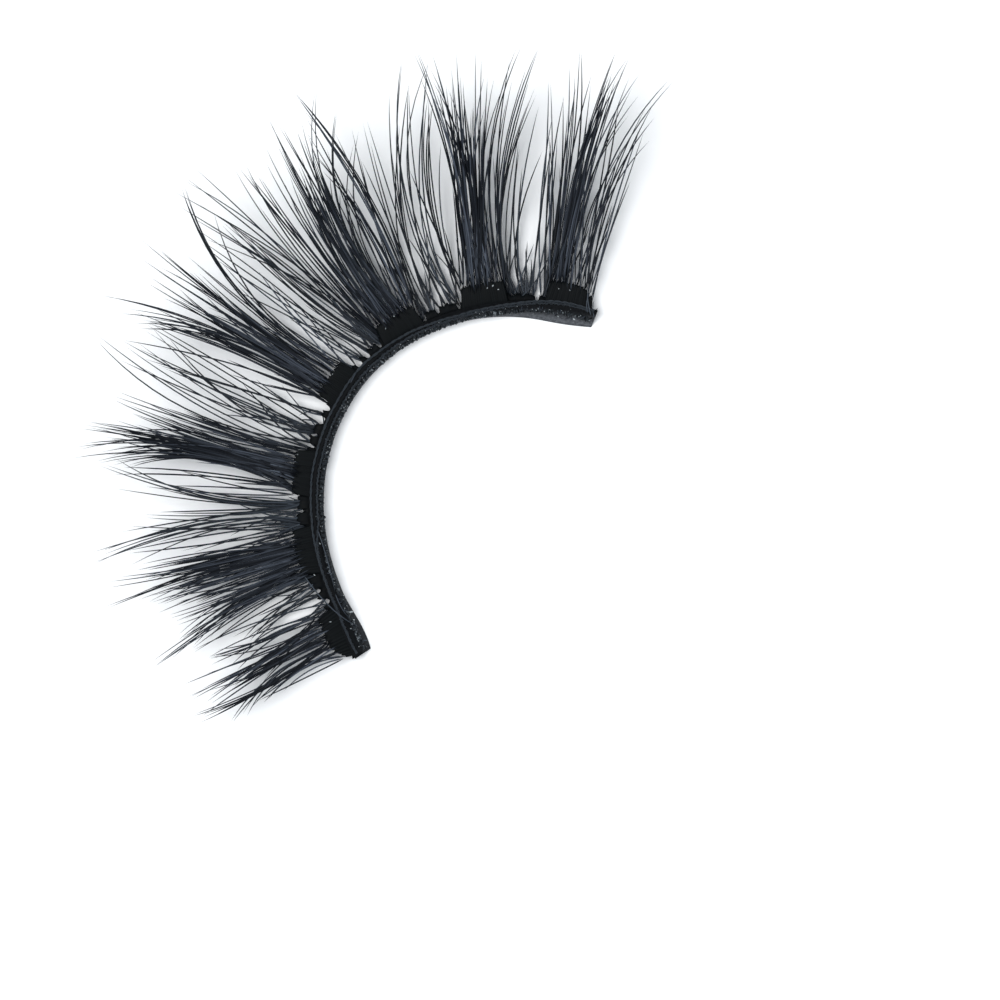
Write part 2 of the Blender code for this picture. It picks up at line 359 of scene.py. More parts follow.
FIBRE = Finish("lash_fibre", Rgb(0.0024, 0.0034, 0.0056), Rgb(0.165, 0.195, 0.250),
               Coordinates.SURFACE, (600.0, 3.0, 1.0), 0.25, (0.34, 0.5), specular=0.12, tone_share=0.8)
FINE_FIBRE = Finish("crossed_fibre", Rgb(0.0026, 0.0038, 0.0060), Rgb(0.095, 0.120, 0.155),
                    Coordinates.SURFACE, (600.0, 3.0, 1.0), 0.4, (0.34, 0.5), specular=0.2,
                    tone_share=0.7)
ROOT_BLOCK = Finish("root_block_resin", Rgb(0.0012, 0.0018, 0.0022), Rgb(0.012, 0.015, 0.017),
                    Coordinates.SURFACE, (90.0, 2.0, 1.0), 0.4, (0.45, 0.7), specular=0.06, relief=0.5,
                    relief_height=0.03 * MM)
GLUE = Finish("black_glue", Rgb(0.0012, 0.0017, 0.0022), Rgb(0.006, 0.008, 0.010), Coordinates.PLACE,
              (2200.0, 2200.0, 2200.0), 0.5, (0.45, 0.7), specular=0.05, relief=0.25)
# The ribbon's light colour comes in mostly through its "tone": painted light on the lower part of its inner
# face.
RIBBON = Finish("ribbon_cotton", Rgb(0.0016, 0.0022, 0.0030), Rgb(0.23, 0.245, 0.27), Coordinates.PLACE,
                (7000.0, 7000.0, 7000.0), 0.1, (0.6, 0.85), specular=0.08, relief=0.6,
                relief_height=0.03 * MM, tone_share=0.8)
# The knots' bright specks are painted glints.
KNOT = Finish("knotted_cotton", Rgb(0.003, 0.0045, 0.006), Rgb(0.055, 0.068, 0.082), Coordinates.PLACE,
              (4200.0, 4200.0, 4200.0), 0.5, (0.4, 0.7), specular=0.15, sheen=0.03, relief=0.5,
              painted_glint=Rgb(0.14, 0.16, 0.175), painted_glint_start=0.62)
THREAD = Finish("binding_thread", Rgb(0.007, 0.010, 0.014), Rgb(0.044, 0.057, 0.072), Coordinates.SURFACE,
                (300.0, 12.0, 1.0), 0.6, (0.45, 0.65), specular=0.22, sheen=0.05, relief=0.4)
# Painted glints: the beads' pale colour stands in for highlights on clear glue.
GLINT_BEAD = Finish("glue_bead_painted_glint", Rgb(0.10, 0.12, 0.13), Rgb(0.55, 0.60, 0.62), Coordinates.PLACE,
              (9000.0, 9000.0, 9000.0), 0.9, (0.08, 0.2), specular=0.5, coat=0.8, relief=0.1)


# The band's path


@dataclass
class BandPath:
    """The line that the band follows, and how its ribbon leans."""

    length: float = 33.4 * MM
    turn: float = math.radians(145.6)
    start_heading: float = math.radians(68.0)
    arc_turns: tuple[float, ...] = (0.11, 0.165, 0.185, 0.20, 0.165, 0.175)
    width: float = 1.2 * MM
    thickness: float = 0.5 * MM
    lean: float = math.radians(20.0)
    end_lean: float = math.radians(48.0)
    twist_length: float = 4.0 * MM
    outer_twist_length: float = 9.0 * MM
    box_steps: int = 40
    search_steps: int = 401
    middle: np.ndarray = field(default_factory=lambda: np.zeros(2))
    shift: np.ndarray = field(default_factory=lambda: np.zeros(2))

    def __post_init__(self) -> None:
        """Puts the chord's middle at the chart's origin, and the band where the frame has it."""
        self.middle = self.place(1.0)[:2] / 2.0
        shares = np.linspace(0.0, 1.0, self.box_steps)
        corners = np.concatenate([
            self.points(shares, self.face(shares, height, side), height)
            for side in (-1, 1) for height in (np.zeros(self.box_steps), self.top(shares))
        ])
        low, high = (np.array(corner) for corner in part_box("lash_band"))
        self.shift = (low + high)[:2] / 2.0 - (corners.min(0) + corners.max(0))[:2] / 2.0

    def place(self, share: float | np.ndarray) -> np.ndarray:
        """Position on the plan and heading.

        Args:
            share: share of the band's length from the inner corner's end.

        Returns:
            x, y and heading, along the last axis.
        """
        share = np.asarray(share, float)
        step = 1.0 / len(self.arc_turns)
        x, y = np.zeros_like(share), np.zeros_like(share)
        heading = np.full_like(share, self.start_heading)
        for i, turn_share in enumerate(self.arc_turns):
            part = np.clip(share - i * step, 0.0, step)
            turn = self.turn * turn_share * part / step
            chord = self.length * part * np.sinc(turn / math.tau)
            x = x + chord * np.cos(heading - turn / 2.0)
            y = y + chord * np.sin(heading - turn / 2.0)
            heading = heading - turn
        return np.stack([x - self.middle[0], y - self.middle[1], heading], -1)

    def points(self, share: np.ndarray, outward: np.ndarray, height: np.ndarray) -> np.ndarray:
        """Points beside the band.

        Args:
            share: shares of the band's length.
            outward: distances from the path, along its outward normal.
            height: heights above the table.

        Returns:
            Points along the last axis, in the frame.
        """
        share, outward, height = np.broadcast_arrays(share, outward, height)
        x, y, heading = np.moveaxis(self.place(share), -1, 0)
        return np.stack([x - outward * np.sin(heading) + self.shift[0],
                         y + outward * np.cos(heading) + self.shift[1], height], -1)

    def lean_at(self, share: np.ndarray) -> np.ndarray:
        """The ribbon's outward lean, greater in the twist at each end."""
        run = np.minimum(share / self.twist_length, (1.0 - share) / self.outer_twist_length) * self.length
        depth = np.clip(1.0 - run, 0.0, 1.0)
        return self.lean + (self.end_lean - self.lean) * depth * depth * (3.0 - 2.0 * depth)

    def top(self, share: np.ndarray) -> np.ndarray:
        """Height of the band's top."""
        return self.width * np.cos(self.lean_at(share))

    def face(self, share: np.ndarray, height: np.ndarray, side: int) -> np.ndarray:
        """Outward place of the outer (side 1) or inner (side -1) face at a height."""
        lean = self.lean_at(share)
        return (height - self.top(share) / 2.0) * np.tan(lean) + side * self.thickness / 2.0 / np.cos(lean)

    def chart_point(self, x: float, y: float) -> np.ndarray:
        """A charted plan position, in millimetres, in the frame."""
        return np.array([x * MM, y * MM]) + self.shift

    def nearest(self, point: np.ndarray, first: float = 0.0, last: float = 1.0) -> tuple[float, float]:
        """Measures a point against the band.

        Args:
            point: a point in the frame.
            first: least share to look at.
            last: greatest share to look at.

        Returns:
            The share whose outward normal passes nearest the point, and how far out the point lies.
        """
        shares = np.linspace(first, last, self.search_steps)
        x, y, heading = np.moveaxis(self.place(shares), -1, 0)
        across, up = point[0] - self.shift[0] - x, point[1] - self.shift[1] - y
        best = int(np.argmin(np.hypot(across, up)))
        outward = up[best] * math.cos(heading[best]) - across[best] * math.sin(heading[best])
        return float(shares[best]), float(outward)


# Mesh helpers


def new_object(name: str, mesh: bpy.types.Mesh) -> bpy.types.Object:
    """Links a mesh to the scene as an object at the origin."""
    piece = bpy.data.objects.new(name, mesh)
    bpy.context.scene.collection.objects.link(piece)
    return piece


def settle(piece: bpy.types.Object, node: str = "") -> bpy.types.Object:
    """Gives a finished piece to the strip's body.

    Args:
        piece: the piece.
        node: the CAD node that it stands for, if any.

    Returns:
        The same piece.
    """
    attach(piece, "root")
    if node:
        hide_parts(node)
    return piece


def seed_mesh(name: str, points: Sequence[np.ndarray], chained: bool = False,
              **values: Sequence[float | np.ndarray]) -> bpy.types.Mesh:
    """Points for a geometry tree to read.

    Args:
        name: name of the mesh.
        points: where they are.
        chained: whether each point is joined to the next.
        values: a number or a vector for each point, by the attribute's name.

    Returns:
        The new mesh.
    """
    seed = bpy.data.meshes.new(name)
    edges = [(i, i + 1) for i in range(len(points) - 1)] if chained else []
    seed.from_pydata([tuple(point) for point in points], edges, [])
    for title, column in values.items():
        column = np.array(column, np.float32)
        kind, part = ("FLOAT", "value") if column.ndim == 1 else ("FLOAT_VECTOR", "vector")
        seed.attributes.new(title, kind, "POINT").data.foreach_set(part, column.ravel())
    return seed


def run_tree(group: bpy.types.NodeTree, seed: bpy.types.Mesh, name: str, inputs: dict) -> bpy.types.Mesh:
    """Runs a geometry tree on a seed.

    Args:
        group: the tree.
        seed: what its first input reads.
        name: name of the new mesh.
        inputs: its other inputs by name.

    Returns:
        The result as a mesh without modifiers.
    """
    holder = new_object(seed.name, seed)
    modifier = holder.modifiers.new(group.name, "NODES")
    modifier.node_group = group
    for item in group.interface.items_tree:
        if item.in_out == "INPUT" and item.name in inputs:
            modifier[item.identifier] = inputs[item.name]
    depsgraph = bpy.context.evaluated_depsgraph_get()
    mesh = bpy.data.meshes.new_from_object(holder.evaluated_get(depsgraph))
    mesh.name = name
    bpy.data.objects.remove(holder, do_unlink=True)
    return mesh


def close_seams(mesh: bpy.types.Mesh, distance: float = 1e-4 * MM) -> None:
    """Merges doubled vertices and turns the faces outwards.

    Args:
        mesh: the mesh to close.
        distance: how near two vertices must be.
    """
    build = bmesh.new()
    build.from_mesh(mesh)
    bmesh.ops.remove_doubles(build, verts=build.verts, dist=distance)
    bmesh.ops.recalc_face_normals(build, faces=build.faces)
    build.to_mesh(mesh)
    build.free()


def loft(name: str, rings: np.ndarray, finish: Finish,
         tones: np.ndarray | None = None) -> bpy.types.Object:
    """Makes a closed body through equal rings of points, with a UV map along and around it.

    Args:
        name: name of the piece.
        rings: points by ring, then around the ring.
        finish: the piece's finish.
        tones: a tone for each point, by ring, which the finish may read.

    Returns:
        The new piece.
    """
    count, around, _ = rings.shape
    build = bmesh.new()
    grid = [[build.verts.new(point) for point in ring] for ring in rings]
    layer = build.loops.layers.uv.new("OFBake")
    for i in range(count - 1):
        for j in range(around):
            k = (j + 1) % around
            face = build.faces.new((grid[i][j], grid[i][k], grid[i + 1][k], grid[i + 1][j]))
            corners = ((i, j), (i, j + 1), (i + 1, j + 1), (i + 1, j))
            for loop, (ring, side) in zip(face.loops, corners):
                loop[layer].uv = (0.02 + 0.9 * ring / (count - 1), 0.02 + 0.96 * side / around)
    for ring, low in ((grid[0], 0.93), (grid[-1], 0.965)):
        face = build.faces.new(ring)
        for i, loop in enumerate(face.loops):
            angle = math.tau * i / around
            loop[layer].uv = (low + 0.016 + 0.014 * math.cos(angle), 0.5 + 0.014 * math.sin(angle))
    bmesh.ops.recalc_face_normals(build, faces=build.faces)
    mesh = bpy.data.meshes.new(name)
    build.to_mesh(mesh)
    build.free()
    mesh.shade_smooth()
    if tones is not None:
        attribute = mesh.attributes.new("tone", "FLOAT", "POINT")
        attribute.data.foreach_set("value", tones.ravel().astype(np.float32))
    mesh.materials.append(finish.make())
    return new_object(name, mesh)


def ripple(values: np.ndarray, seed: int, octaves: int = 4) -> np.ndarray:
    """Smooth repeatable noise between about -1 and 1.

    Args:
        values: where to read it.
        seed: choice of noise.
        octaves: how many sines are summed.

    Returns:
        Noise at each value.
    """
    random = np.random.default_rng(seed)
    total = np.zeros_like(values, float)
    for octave in range(octaves):
        rate = 2.0 ** octave * random.uniform(0.8, 1.25)
        total = total + np.sin(values * rate + random.uniform(0.0, math.tau)) / 1.7 ** octave
    return total / 1.8


# Strands


class Strand(NamedTuple):
    """A hair: its root, bend and tip, its thickness, and its tone from dark to light, whose light end is
    partly painted sheen.
    """

    root: np.ndarray
    bend: np.ndarray
    tip: np.ndarray
    girth: float
    tone: float


@dataclass(frozen=True)
class StrandTree:
    """The node tree that grows a tapered hair on every root."""

    steps: int = 14
    sides: int = 5
    taper_power: float = 7.0
    root_flare: float = 0.0
    flare_power: float = 14.0
    painted_sheen_fade: float = 0.5
    tone_start: float = 13.0
    closed_start: float = 0.001

    @cache
    def build(self) -> bpy.types.NodeTree:
        """Makes the tree.

        Returns:
            The geometry tree, with its sizes and its material as inputs.
        """
        tree, given = Tree.open_group("grow_strands", {
            "Points": "Geometry", "Steps": "Int", "Sides": "Int", "Taper Power": "Float",
            "Root Flare": "Float", "Finish": "Material",
        })
        line = tree.add("GeometryNodeCurvePrimitiveLine", {}, {"End": (0.0, 0.0, MM)})
        line = tree.add("GeometryNodeResampleCurve", {}, {"Curve": line, "Count": given["Steps"]})
        hairs = tree.add("GeometryNodeInstanceOnPoints", {}, {"Points": given["Points"], "Instance": line})
        hairs = tree.add("GeometryNodeRealizeInstances", {}, {"Geometry": hairs})
        along = tree.add("GeometryNodeSplineParameter", output="Factor")
        root, bend, tip = (tree.attribute(name, "FLOAT_VECTOR") for name in ("root", "bend", "tip"))
        place = tree.blend("VECTOR", along, tree.blend("VECTOR", along, root, bend),
                           tree.blend("VECTOR", along, bend, tip))
        hairs = tree.add("GeometryNodeSetPosition", {}, {"Geometry": hairs, "Position": place})
        flare = (1.0 - along) ** self.flare_power * given["Root Flare"]
        width = tree.attribute("girth") * (1.0 - along ** given["Taper Power"]) * (flare + 1.0)
        # Painted sheen: each hair's tone is lightest near its root and fades along it.
        tone_with_sheen = tree.attribute("tone") * (1.0 - along * self.painted_sheen_fade)
        shown = tone_with_sheen * (1.0 - (1.0 - along) ** self.tone_start)
        hairs = tree.add("GeometryNodeStoreNamedAttribute", {"data_type": "FLOAT", "domain": "POINT"},
                         {"Geometry": hairs, "Name": "tone", "Value": shown})
        closed = tree.add("FunctionNodeCompare", {"data_type": "FLOAT", "operation": "GREATER_THAN"},
                          {"A": along, "B": self.closed_start})
        return tree.close_group(tree.sweep(hairs, given["Sides"], width * closed), given["Finish"])

    def grow(self, name: str, hairs: Sequence[Strand], finish: Finish) -> bpy.types.Object:
        """Grows hairs into one plain mesh with its own UV map.

        Args:
            name: name of the piece.
            hairs: the hairs.
            finish: their finish.

        Returns:
            The new piece.
        """
        roots, bends, tips, girths, tones = zip(*hairs)
        seed = seed_mesh(f"{name}_roots", roots, root=roots, bend=bends, tip=tips, girth=girths, tone=tones)
        mesh = run_tree(self.build(), seed, name, {
            "Steps": self.steps, "Sides": self.sides, "Taper Power": self.taper_power,
            "Root Flare": self.root_flare, "Finish": finish.make(),
        })
        unwrap_tubes(mesh, self.steps, self.sides)
        close_seams(mesh)
        return new_object(name, mesh)


@dataclass(frozen=True)
class WindTree:
    """The node tree that winds a thread round a path."""

    waver_scale: float = 1.7 / MM
    uv_columns: int = 40

    @cache
    def build(self) -> bpy.types.NodeTree:
        """Makes the tree.

        Returns:
            The geometry tree: it reads an "outward" direction on the path's points.
        """
        tree, given = Tree.open_group("wind_thread", {
            "Path": "Geometry", "Steps": "Int", "Sides": "Int", "Pitch": "Float", "Radius": "Float",
            "Thickness": "Float", "Phase": "Float", "Unevenness": "Float", "Finish": "Material",
        })
        curve = tree.add("GeometryNodeMeshToCurve", {}, {"Mesh": given["Path"]})
        curve = tree.add("GeometryNodeResampleCurve", {}, {"Curve": curve, "Count": given["Steps"]})
        run = tree.add("GeometryNodeSplineParameter", output="Length")
        waver = tree.add("ShaderNodeTexNoise", {"noise_dimensions": "3D"}, {
            "Vector": tree.add("GeometryNodeInputPosition"), "Scale": self.waver_scale, "Detail": 1.0,
        })
        uneven = (waver - 0.5) * given["Unevenness"]
        turn = (run * (1.0 / given["Pitch"]) + uneven) * math.tau + given["Phase"]
        swell = given["Radius"] * (1.0 + uneven)
        sideways, upwards = (tree.add("ShaderNodeMath", {"operation": operation}, {0: turn}) * swell
                             for operation in ("COSINE", "SINE"))
        across = tree.scaled(tree.attribute("outward", "FLOAT_VECTOR"), sideways)
        lift = tree.add("ShaderNodeCombineXYZ", {}, {"Z": upwards})
        offset = tree.add("ShaderNodeVectorMath", {"operation": "ADD"}, {0: across, 1: lift})
        curve = tree.add("GeometryNodeSetPosition", {}, {"Geometry": curve, "Offset": offset})
        return tree.close_group(tree.sweep(curve, given["Sides"], given["Thickness"]), given["Finish"])

    def wind(self, name: str, points: np.ndarray, outward: np.ndarray, sizes: dict) -> bpy.types.Mesh:
        """Winds one thread round a path.

        Args:
            name: name of the mesh.
            points: the path's points.
            outward: the level direction towards the lashes at each point.
            sizes: the tree's inputs by name.

        Returns:
            A plain mesh with its own UV map.
        """
        seed = seed_mesh(f"{name}_path", points, chained=True, outward=outward)
        mesh = run_tree(self.build(), seed, name, sizes)
        unwrap_tubes(mesh, sizes["Steps"], sizes["Sides"], self.uv_columns)
        return mesh


def unwrap_tubes(mesh: bpy.types.Mesh, steps: int, sides: int, runs: int = 1) -> None:
    """Gives each tube its own columns of the UV map: U around it, V along it.

    Args:
        mesh: grown tubes, tube by tube and ring by ring.
        steps: rings in each tube.
        sides: corners of each ring.
        runs: into how many columns each tube is cut.
    """
    corner_vertex = np.zeros(len(mesh.loops), np.int64)
    mesh.loops.foreach_get("vertex_index", corner_vertex)
    starts = np.zeros(len(mesh.polygons), np.int64)
    mesh.polygons.foreach_get("loop_start", starts)
    totals = np.zeros(len(mesh.polygons), np.int64)
    mesh.polygons.foreach_get("loop_total", totals)
    tube, rest = np.divmod(corner_vertex, steps * sides)
    ring, side = np.divmod(rest, sides)
    face = np.repeat(np.arange(len(starts)), totals)
    widest = np.maximum.reduceat(side, starts)[face]
    side = np.where((side == 0) & (widest == sides - 1), sides, side)
    rings_per_run = math.ceil((steps - 1) / runs)
    run = np.minimum.reduceat(ring, starts)[face] // rings_per_run
    column = tube * runs + run
    columns = (int(tube.max()) + 1) * runs
    u = (column + 0.08 + 0.84 * side / sides) / columns
    v = 0.01 + 0.98 * (ring - run * rings_per_run) / rings_per_run
    layer = mesh.uv_layers.new(name="OFBake")
    layer.data.foreach_set("uv", np.stack([u, v], -1).astype(np.float32).ravel())


# Charts


class Lock(NamedTuple):
    """A lock's lean from the normal in degrees, reach as a share of 15 mm, sideways bow and strands."""

    lean: float
    reach: float
    bow: float
    strands: int


class Wisp(NamedTuple):
    """A single charted hair: its tip and a point that it passes, on the plan in millimetres."""

    tip_x: float
    tip_y: float
    via_x: float
    via_y: float


class Chart(NamedTuple):
    """A tuft's ends as shares of the band, how its inner strands lean, its locks and its wisps."""

    first: float
    last: float
    core_lean: float
    locks: tuple[Lock, ...]
    wisps: tuple[Wisp, ...] = ()


CLUSTER_CHARTS = (
    Chart(0.005, 0.098, 1.5, (
        Lock(8, 0.40, -0.06, 1), Lock(0, 0.51, -0.07, 1), Lock(-4, 0.61, -0.08, 1),
        Lock(1, 0.73, 0.04, 3), Lock(-1, 0.56, -0.02, 4), Lock(1, 0.71, 0.01, 4),
        Lock(-7, 0.66, -0.03, 3), Lock(-3, 0.50, -0.02, 2),
    ), (
        Wisp(-21.1, 6.5, -17.0, 3.85), Wisp(-20.4, 7.3, -15.5, 4.6), Wisp(-20.2, 4.3, -15.5, 3.4),
        Wisp(-17.7, 7.7, -15.0, 5.6), Wisp(-17.6, 7.5, -14.8, 5.5),
    )),
    Chart(0.165, 0.248, 1.0, (
        Lock(-9, 0.66, -0.05, 2), Lock(-14, 0.80, -0.02, 3), Lock(-7, 0.66, 0.02, 5),
        Lock(-3, 0.71, 0.01, 6), Lock(-4, 0.76, -0.01, 6), Lock(-6, 0.90, -0.02, 5),
        Lock(-4, 0.87, 0.01, 4), Lock(-6, 0.74, 0.0, 2), Lock(-6, 0.66, 0.02, 2),
    ), (
        Wisp(-20.0, 10.05, -16.0, 8.4), Wisp(-19.9, 10.0, -14.0, 7.6), Wisp(-17.9, 9.7, -14.5, 8.2),
    )),
    Chart(0.300, 0.380, 0.0, (
        Lock(6, 0.99, -0.09, 5), Lock(6, 0.98, -0.09, 6), Lock(7, 0.87, -0.03, 6),
        Lock(5, 0.97, -0.02, 6), Lock(3, 0.89, 0.01, 5), Lock(3, 0.84, 0.02, 5), Lock(6, 0.87, 0.03, 3),
        Lock(4, 0.66, 0.01, 2),
    ), (Wisp(-7.6, 21.4, -6.2, 16.0),)),
    Chart(0.468, 0.538, -1.0, (
        Lock(-4, 1.05, -0.06, 5), Lock(1, 0.92, 0.0, 5), Lock(0, 0.92, 0.01, 4), Lock(0, 0.99, 0.01, 4),
        Lock(1, 1.03, 0.02, 2), Lock(-1, 0.95, 0.02, 2), Lock(-1, 0.85, 0.03, 2), Lock(8, 1.05, 0.12, 2),
    ), (Wisp(-3.3, 25.2, -1.9, 21.7), Wisp(5.0, 25.0, 2.2, 20.5), Wisp(4.9, 24.8, 2.0, 20.0))),
    Chart(0.608, 0.685, 1.0, (
        Lock(-3, 0.95, 0.01, 3), Lock(-3, 0.86, 0.03, 3), Lock(0, 0.95, 0.05, 4), Lock(0, 0.93, 0.03, 5),
        Lock(-1, 1.05, 0.03, 5), Lock(-2, 0.98, 0.02, 4), Lock(0, 0.96, 0.07, 4), Lock(4, 1.05, 0.13, 3),
        Lock(-3, 1.08, -0.04, 2),
    ), (Wisp(13.3, 22.6, 10.9, 16.5), Wisp(13.2, 22.3, 10.7, 16.3), Wisp(14.2, 21.7, 10.6, 19.4))),
    Chart(0.762, 0.840, 1.0, (
        Lock(3, 0.88, 0.07, 2), Lock(0, 1.07, -0.05, 5), Lock(1, 0.93, 0.0, 6), Lock(4, 1.04, 0.02, 6),
        Lock(2, 0.95, 0.01, 5), Lock(0, 0.90, 0.01, 3), Lock(3, 0.93, 0.08, 2), Lock(3, 0.92, 0.04, 1),
        Lock(6, 1.05, 0.09, 2),
    ), (
        Wisp(19.4, 18.1, 16.8, 14.2), Wisp(19.6, 17.9, 17.0, 14.3), Wisp(23.4, 12.9, 19.0, 11.7),
        Wisp(23.9, 12.0, 18.0, 10.3),
    )),
    Chart(0.908, 0.990, 0.5, (
        Lock(-1, 1.05, -0.03, 2), Lock(0, 0.96, 0.0, 3), Lock(2, 1.06, 0.04, 3), Lock(3, 1.06, 0.05, 3),
        Lock(0, 1.0, 0.04, 3), Lock(3, 0.92, 0.07, 2), Lock(-4, 0.88, -0.01, 1), Lock(4, 1.02, 0.09, 2),
        Lock(0, 0.90, 0.05, 1), Lock(-4, 0.79, 0.02, 1),
    ), (
        Wisp(25.2, 9.9, 21.0, 7.4), Wisp(26.3, 8.0, 22.0, 6.8), Wisp(26.5, 7.2, 23.0, 7.0),
        Wisp(25.6, 7.0, 21.5, 6.0), Wisp(26.9, 4.1, 23.0, 4.4), Wisp(23.3, 3.9, 19.0, 2.7),
    )),
)

# The share of its depth that a cluster's root block loses towards each end, by the cluster's number
BLOCK_SLANTS = {1: (0.62, 0.0), 7: (0.0, 0.5)}

FAN_CHARTS = (
    Chart(0.104, 0.162, 0.0, (
        Lock(-1, 0.57, 0.05, 1), Lock(-4, 0.55, 0.06, 1), Lock(-7, 0.41, -0.03, 2),
        Lock(-6, 0.45, 0.02, 1), Lock(-7, 0.62, -0.06, 1), Lock(-8, 0.62, -0.06, 2),
        Lock(-12, 0.54, -0.03, 2),
    ), (
        Wisp(-20.1, 10.1, -14.0, 7.7), Wisp(-17.7, 9.7, -13.4, 7.5), Wisp(-17.1, 10.6, -13.4, 8.0),
        Wisp(-17.9, 8.7, -13.1, 5.5), Wisp(-15.7, 6.6, -13.4, 6.1), Wisp(-17.8, 7.6, -13.6, 4.6),
    )),
    Chart(0.251, 0.298, 3.0, (
        Lock(-8, 0.77, -0.06, 2), Lock(-7, 0.92, -0.07, 2), Lock(-6, 0.92, -0.03, 2),
        Lock(-9, 0.78, 0.0, 2), Lock(-5, 0.79, -0.02, 2), Lock(-2, 0.70, 0.06, 2), Lock(4, 0.81, 0.06, 2),
        Lock(8, 0.88, 0.07, 2),
    ), (Wisp(-17.0, 16.6, -13.3, 14.1), Wisp(-11.0, 19.2, -10.4, 15.0))),
    Chart(0.382, 0.466, 0.0, (
        Lock(12, 1.02, 0.08, 1), Lock(6, 0.89, 0.05, 1), Lock(8, 0.91, 0.03, 2), Lock(12, 0.83, 0.07, 1),
        Lock(9, 0.85, 0.0, 1), Lock(-3, 0.80, 0.0, 1), Lock(4, 0.83, 0.03, 1), Lock(-6, 0.91, -0.05, 1),
        Lock(-1, 0.91, -0.02, 2),
    ), (Wisp(-5.7, 24.2, -6.25, 20.9),)),
    Chart(0.541, 0.605, 0.0, (
        Lock(-3, 0.73, 0.06, 1), Lock(-11, 0.63, 0.01, 1), Lock(-7, 0.84, 0.01, 2),
        Lock(-7, 0.89, -0.04, 1), Lock(-10, 0.84, 0.0, 1), Lock(-10, 0.95, -0.01, 1),
        Lock(-10, 1.07, -0.04, 2), Lock(-8, 1.07, 0.0, 3), Lock(-12, 0.86, 0.03, 3),
    ), (Wisp(5.2, 25.2, 5.4, 20.5), Wisp(6.2, 25.1, 5.4, 19.8))),
    Chart(0.688, 0.759, -2.0, (
        Lock(-2, 0.86, -0.01, 2), Lock(0, 0.85, 0.07, 2), Lock(2, 0.86, 0.02, 2), Lock(7, 0.94, 0.07, 2),
        Lock(9, 1.05, 0.08, 1), Lock(7, 0.95, 0.06, 1), Lock(10, 1.03, 0.12, 1), Lock(-1, 0.93, 0.11, 1),
    ), (Wisp(18.6, 18.4, 14.0, 15.5), Wisp(19.5, 17.0, 15.0, 15.5), Wisp(17.7, 15.8, 12.0, 11.3))),
    Chart(0.843, 0.905, 0.0, (
        Lock(6, 0.92, 0.08, 2), Lock(5, 1.04, 0.10, 2), Lock(-1, 0.75, 0.03, 2), Lock(1, 0.81, 0.04, 2),
        Lock(1, 0.91, -0.02, 2), Lock(2, 0.86, -0.01, 1), Lock(2, 0.91, 0.01, 2),
    ), (
        Wisp(22.6, 10.4, 18.0, 7.5), Wisp(22.4, 9.1, 16.0, 6.0), Wisp(23.3, 8.85, 16.5, 5.6),
        Wisp(20.2, 8.1, 14.5, 5.1), Wisp(21.0, 9.0, 14.0, 5.2),
    )),
)


class Window(NamedTuple):
    """An opening in the glue web: its rounded inner end on the plan, and its width, in millimetres."""

    x: float
    y: float
    width: float


WEB_WINDOWS = (
    Window(-10.8, 3.65, 0.45), Window(-10.6, 4.45, 0.32), Window(-10.08, 5.27, 0.14),
    Window(-8.55, 6.95, 0.24), Window(-8.0, 7.35, 0.30), Window(-7.2, 8.0, 0.24),
    Window(-5.85, 8.6, 0.32), Window(-3.66, 9.6, 0.24), Window(-3.0, 9.85, 0.20),
    Window(-2.05, 9.87, 0.54), Window(-1.25, 10.12, 0.38), Window(2.0, 9.95, 0.42),
    Window(2.72, 9.9, 0.32), Window(3.6, 9.7, 0.24), Window(4.05, 9.9, 0.14),
    Window(6.35, 8.35, 0.30), Window(7.3, 7.95, 0.22), Window(8.2, 7.1, 0.24),
    Window(8.65, 6.75, 0.24), Window(9.0, 6.3, 0.18), Window(11.2, 3.5, 0.24),
    Window(11.45, 2.95, 0.30),
)


@dataclass
class WebWindows:
    """The openings of the glue web, measured along the band."""

    path: BandPath
    chart: tuple[Window, ...] = WEB_WINDOWS
    roundness: float = 1.3
    stem_pitch: float = 0.30 * MM
    post_height: float = 0.42 * MM
    raggedness: float = 0.11 * MM
    ragged_rate: float = 9.0 / MM
    ragged_seed: int = 9
    margin: float = 0.01

    @cached_property
    def spans(self) -> list[tuple[float, float, float]]:
        """Measures the openings.

        Returns:
            Each one's share, half width as a share, and the outward distance of its inner end.
        """
        found = []
        for window in self.chart:
            share, outward = self.path.nearest(self.path.chart_point(window.x, window.y))
            found.append((share, window.width * MM / 2.0 / self.path.length, outward))
        return sorted(found)

    def stems(self, first: float, last: float) -> list[float]:
        """The shares where the web stands between the openings of one stretch.

        Args:
            first: least share of the stretch.
            last: greatest share of the stretch.

        Returns:
            One share for each stem.
        """
        inside = [span for span in self.spans if first - self.margin < span[0] < last + self.margin]
        edges = [edge for middle, half, _ in inside for edge in (middle - half, middle + half)]
        sides = [first, *edges, last]
        stems = []
        for low, high in zip(sides[::2], sides[1::2]):
            count = max(1, round((high - low) * self.path.length / self.stem_pitch))
            stems += [low + (high - low) * (number + 0.5) / count for number in range(count)]
        return stems

    def edge(self, share: np.ndarray) -> np.ndarray:
        """The web's outer edge: posts stand a little higher than the openings' inner ends.

        Args:
            share: shares of the band's length.

        Returns:
            The outward distance with the rounded openings cut in.
        """
        middles, _, inner_ends = zip(*self.spans)
        ragged = self.raggedness * ripple(share * self.path.length * self.ragged_rate, self.ragged_seed)
        edge = np.interp(share, middles, inner_ends) + self.post_height + ragged
        for middle, half, outward in self.spans:
            across = np.abs(share - middle) / half
            bow = 1.0 - np.sqrt(np.clip(1.0 - across ** 2, 0.0, 1.0))
            cut = outward + self.roundness * half * self.path.length * 2.0 * bow
            edge = np.where(across < 1.0, np.minimum(edge, cut), edge)
        return edge


# Tufts


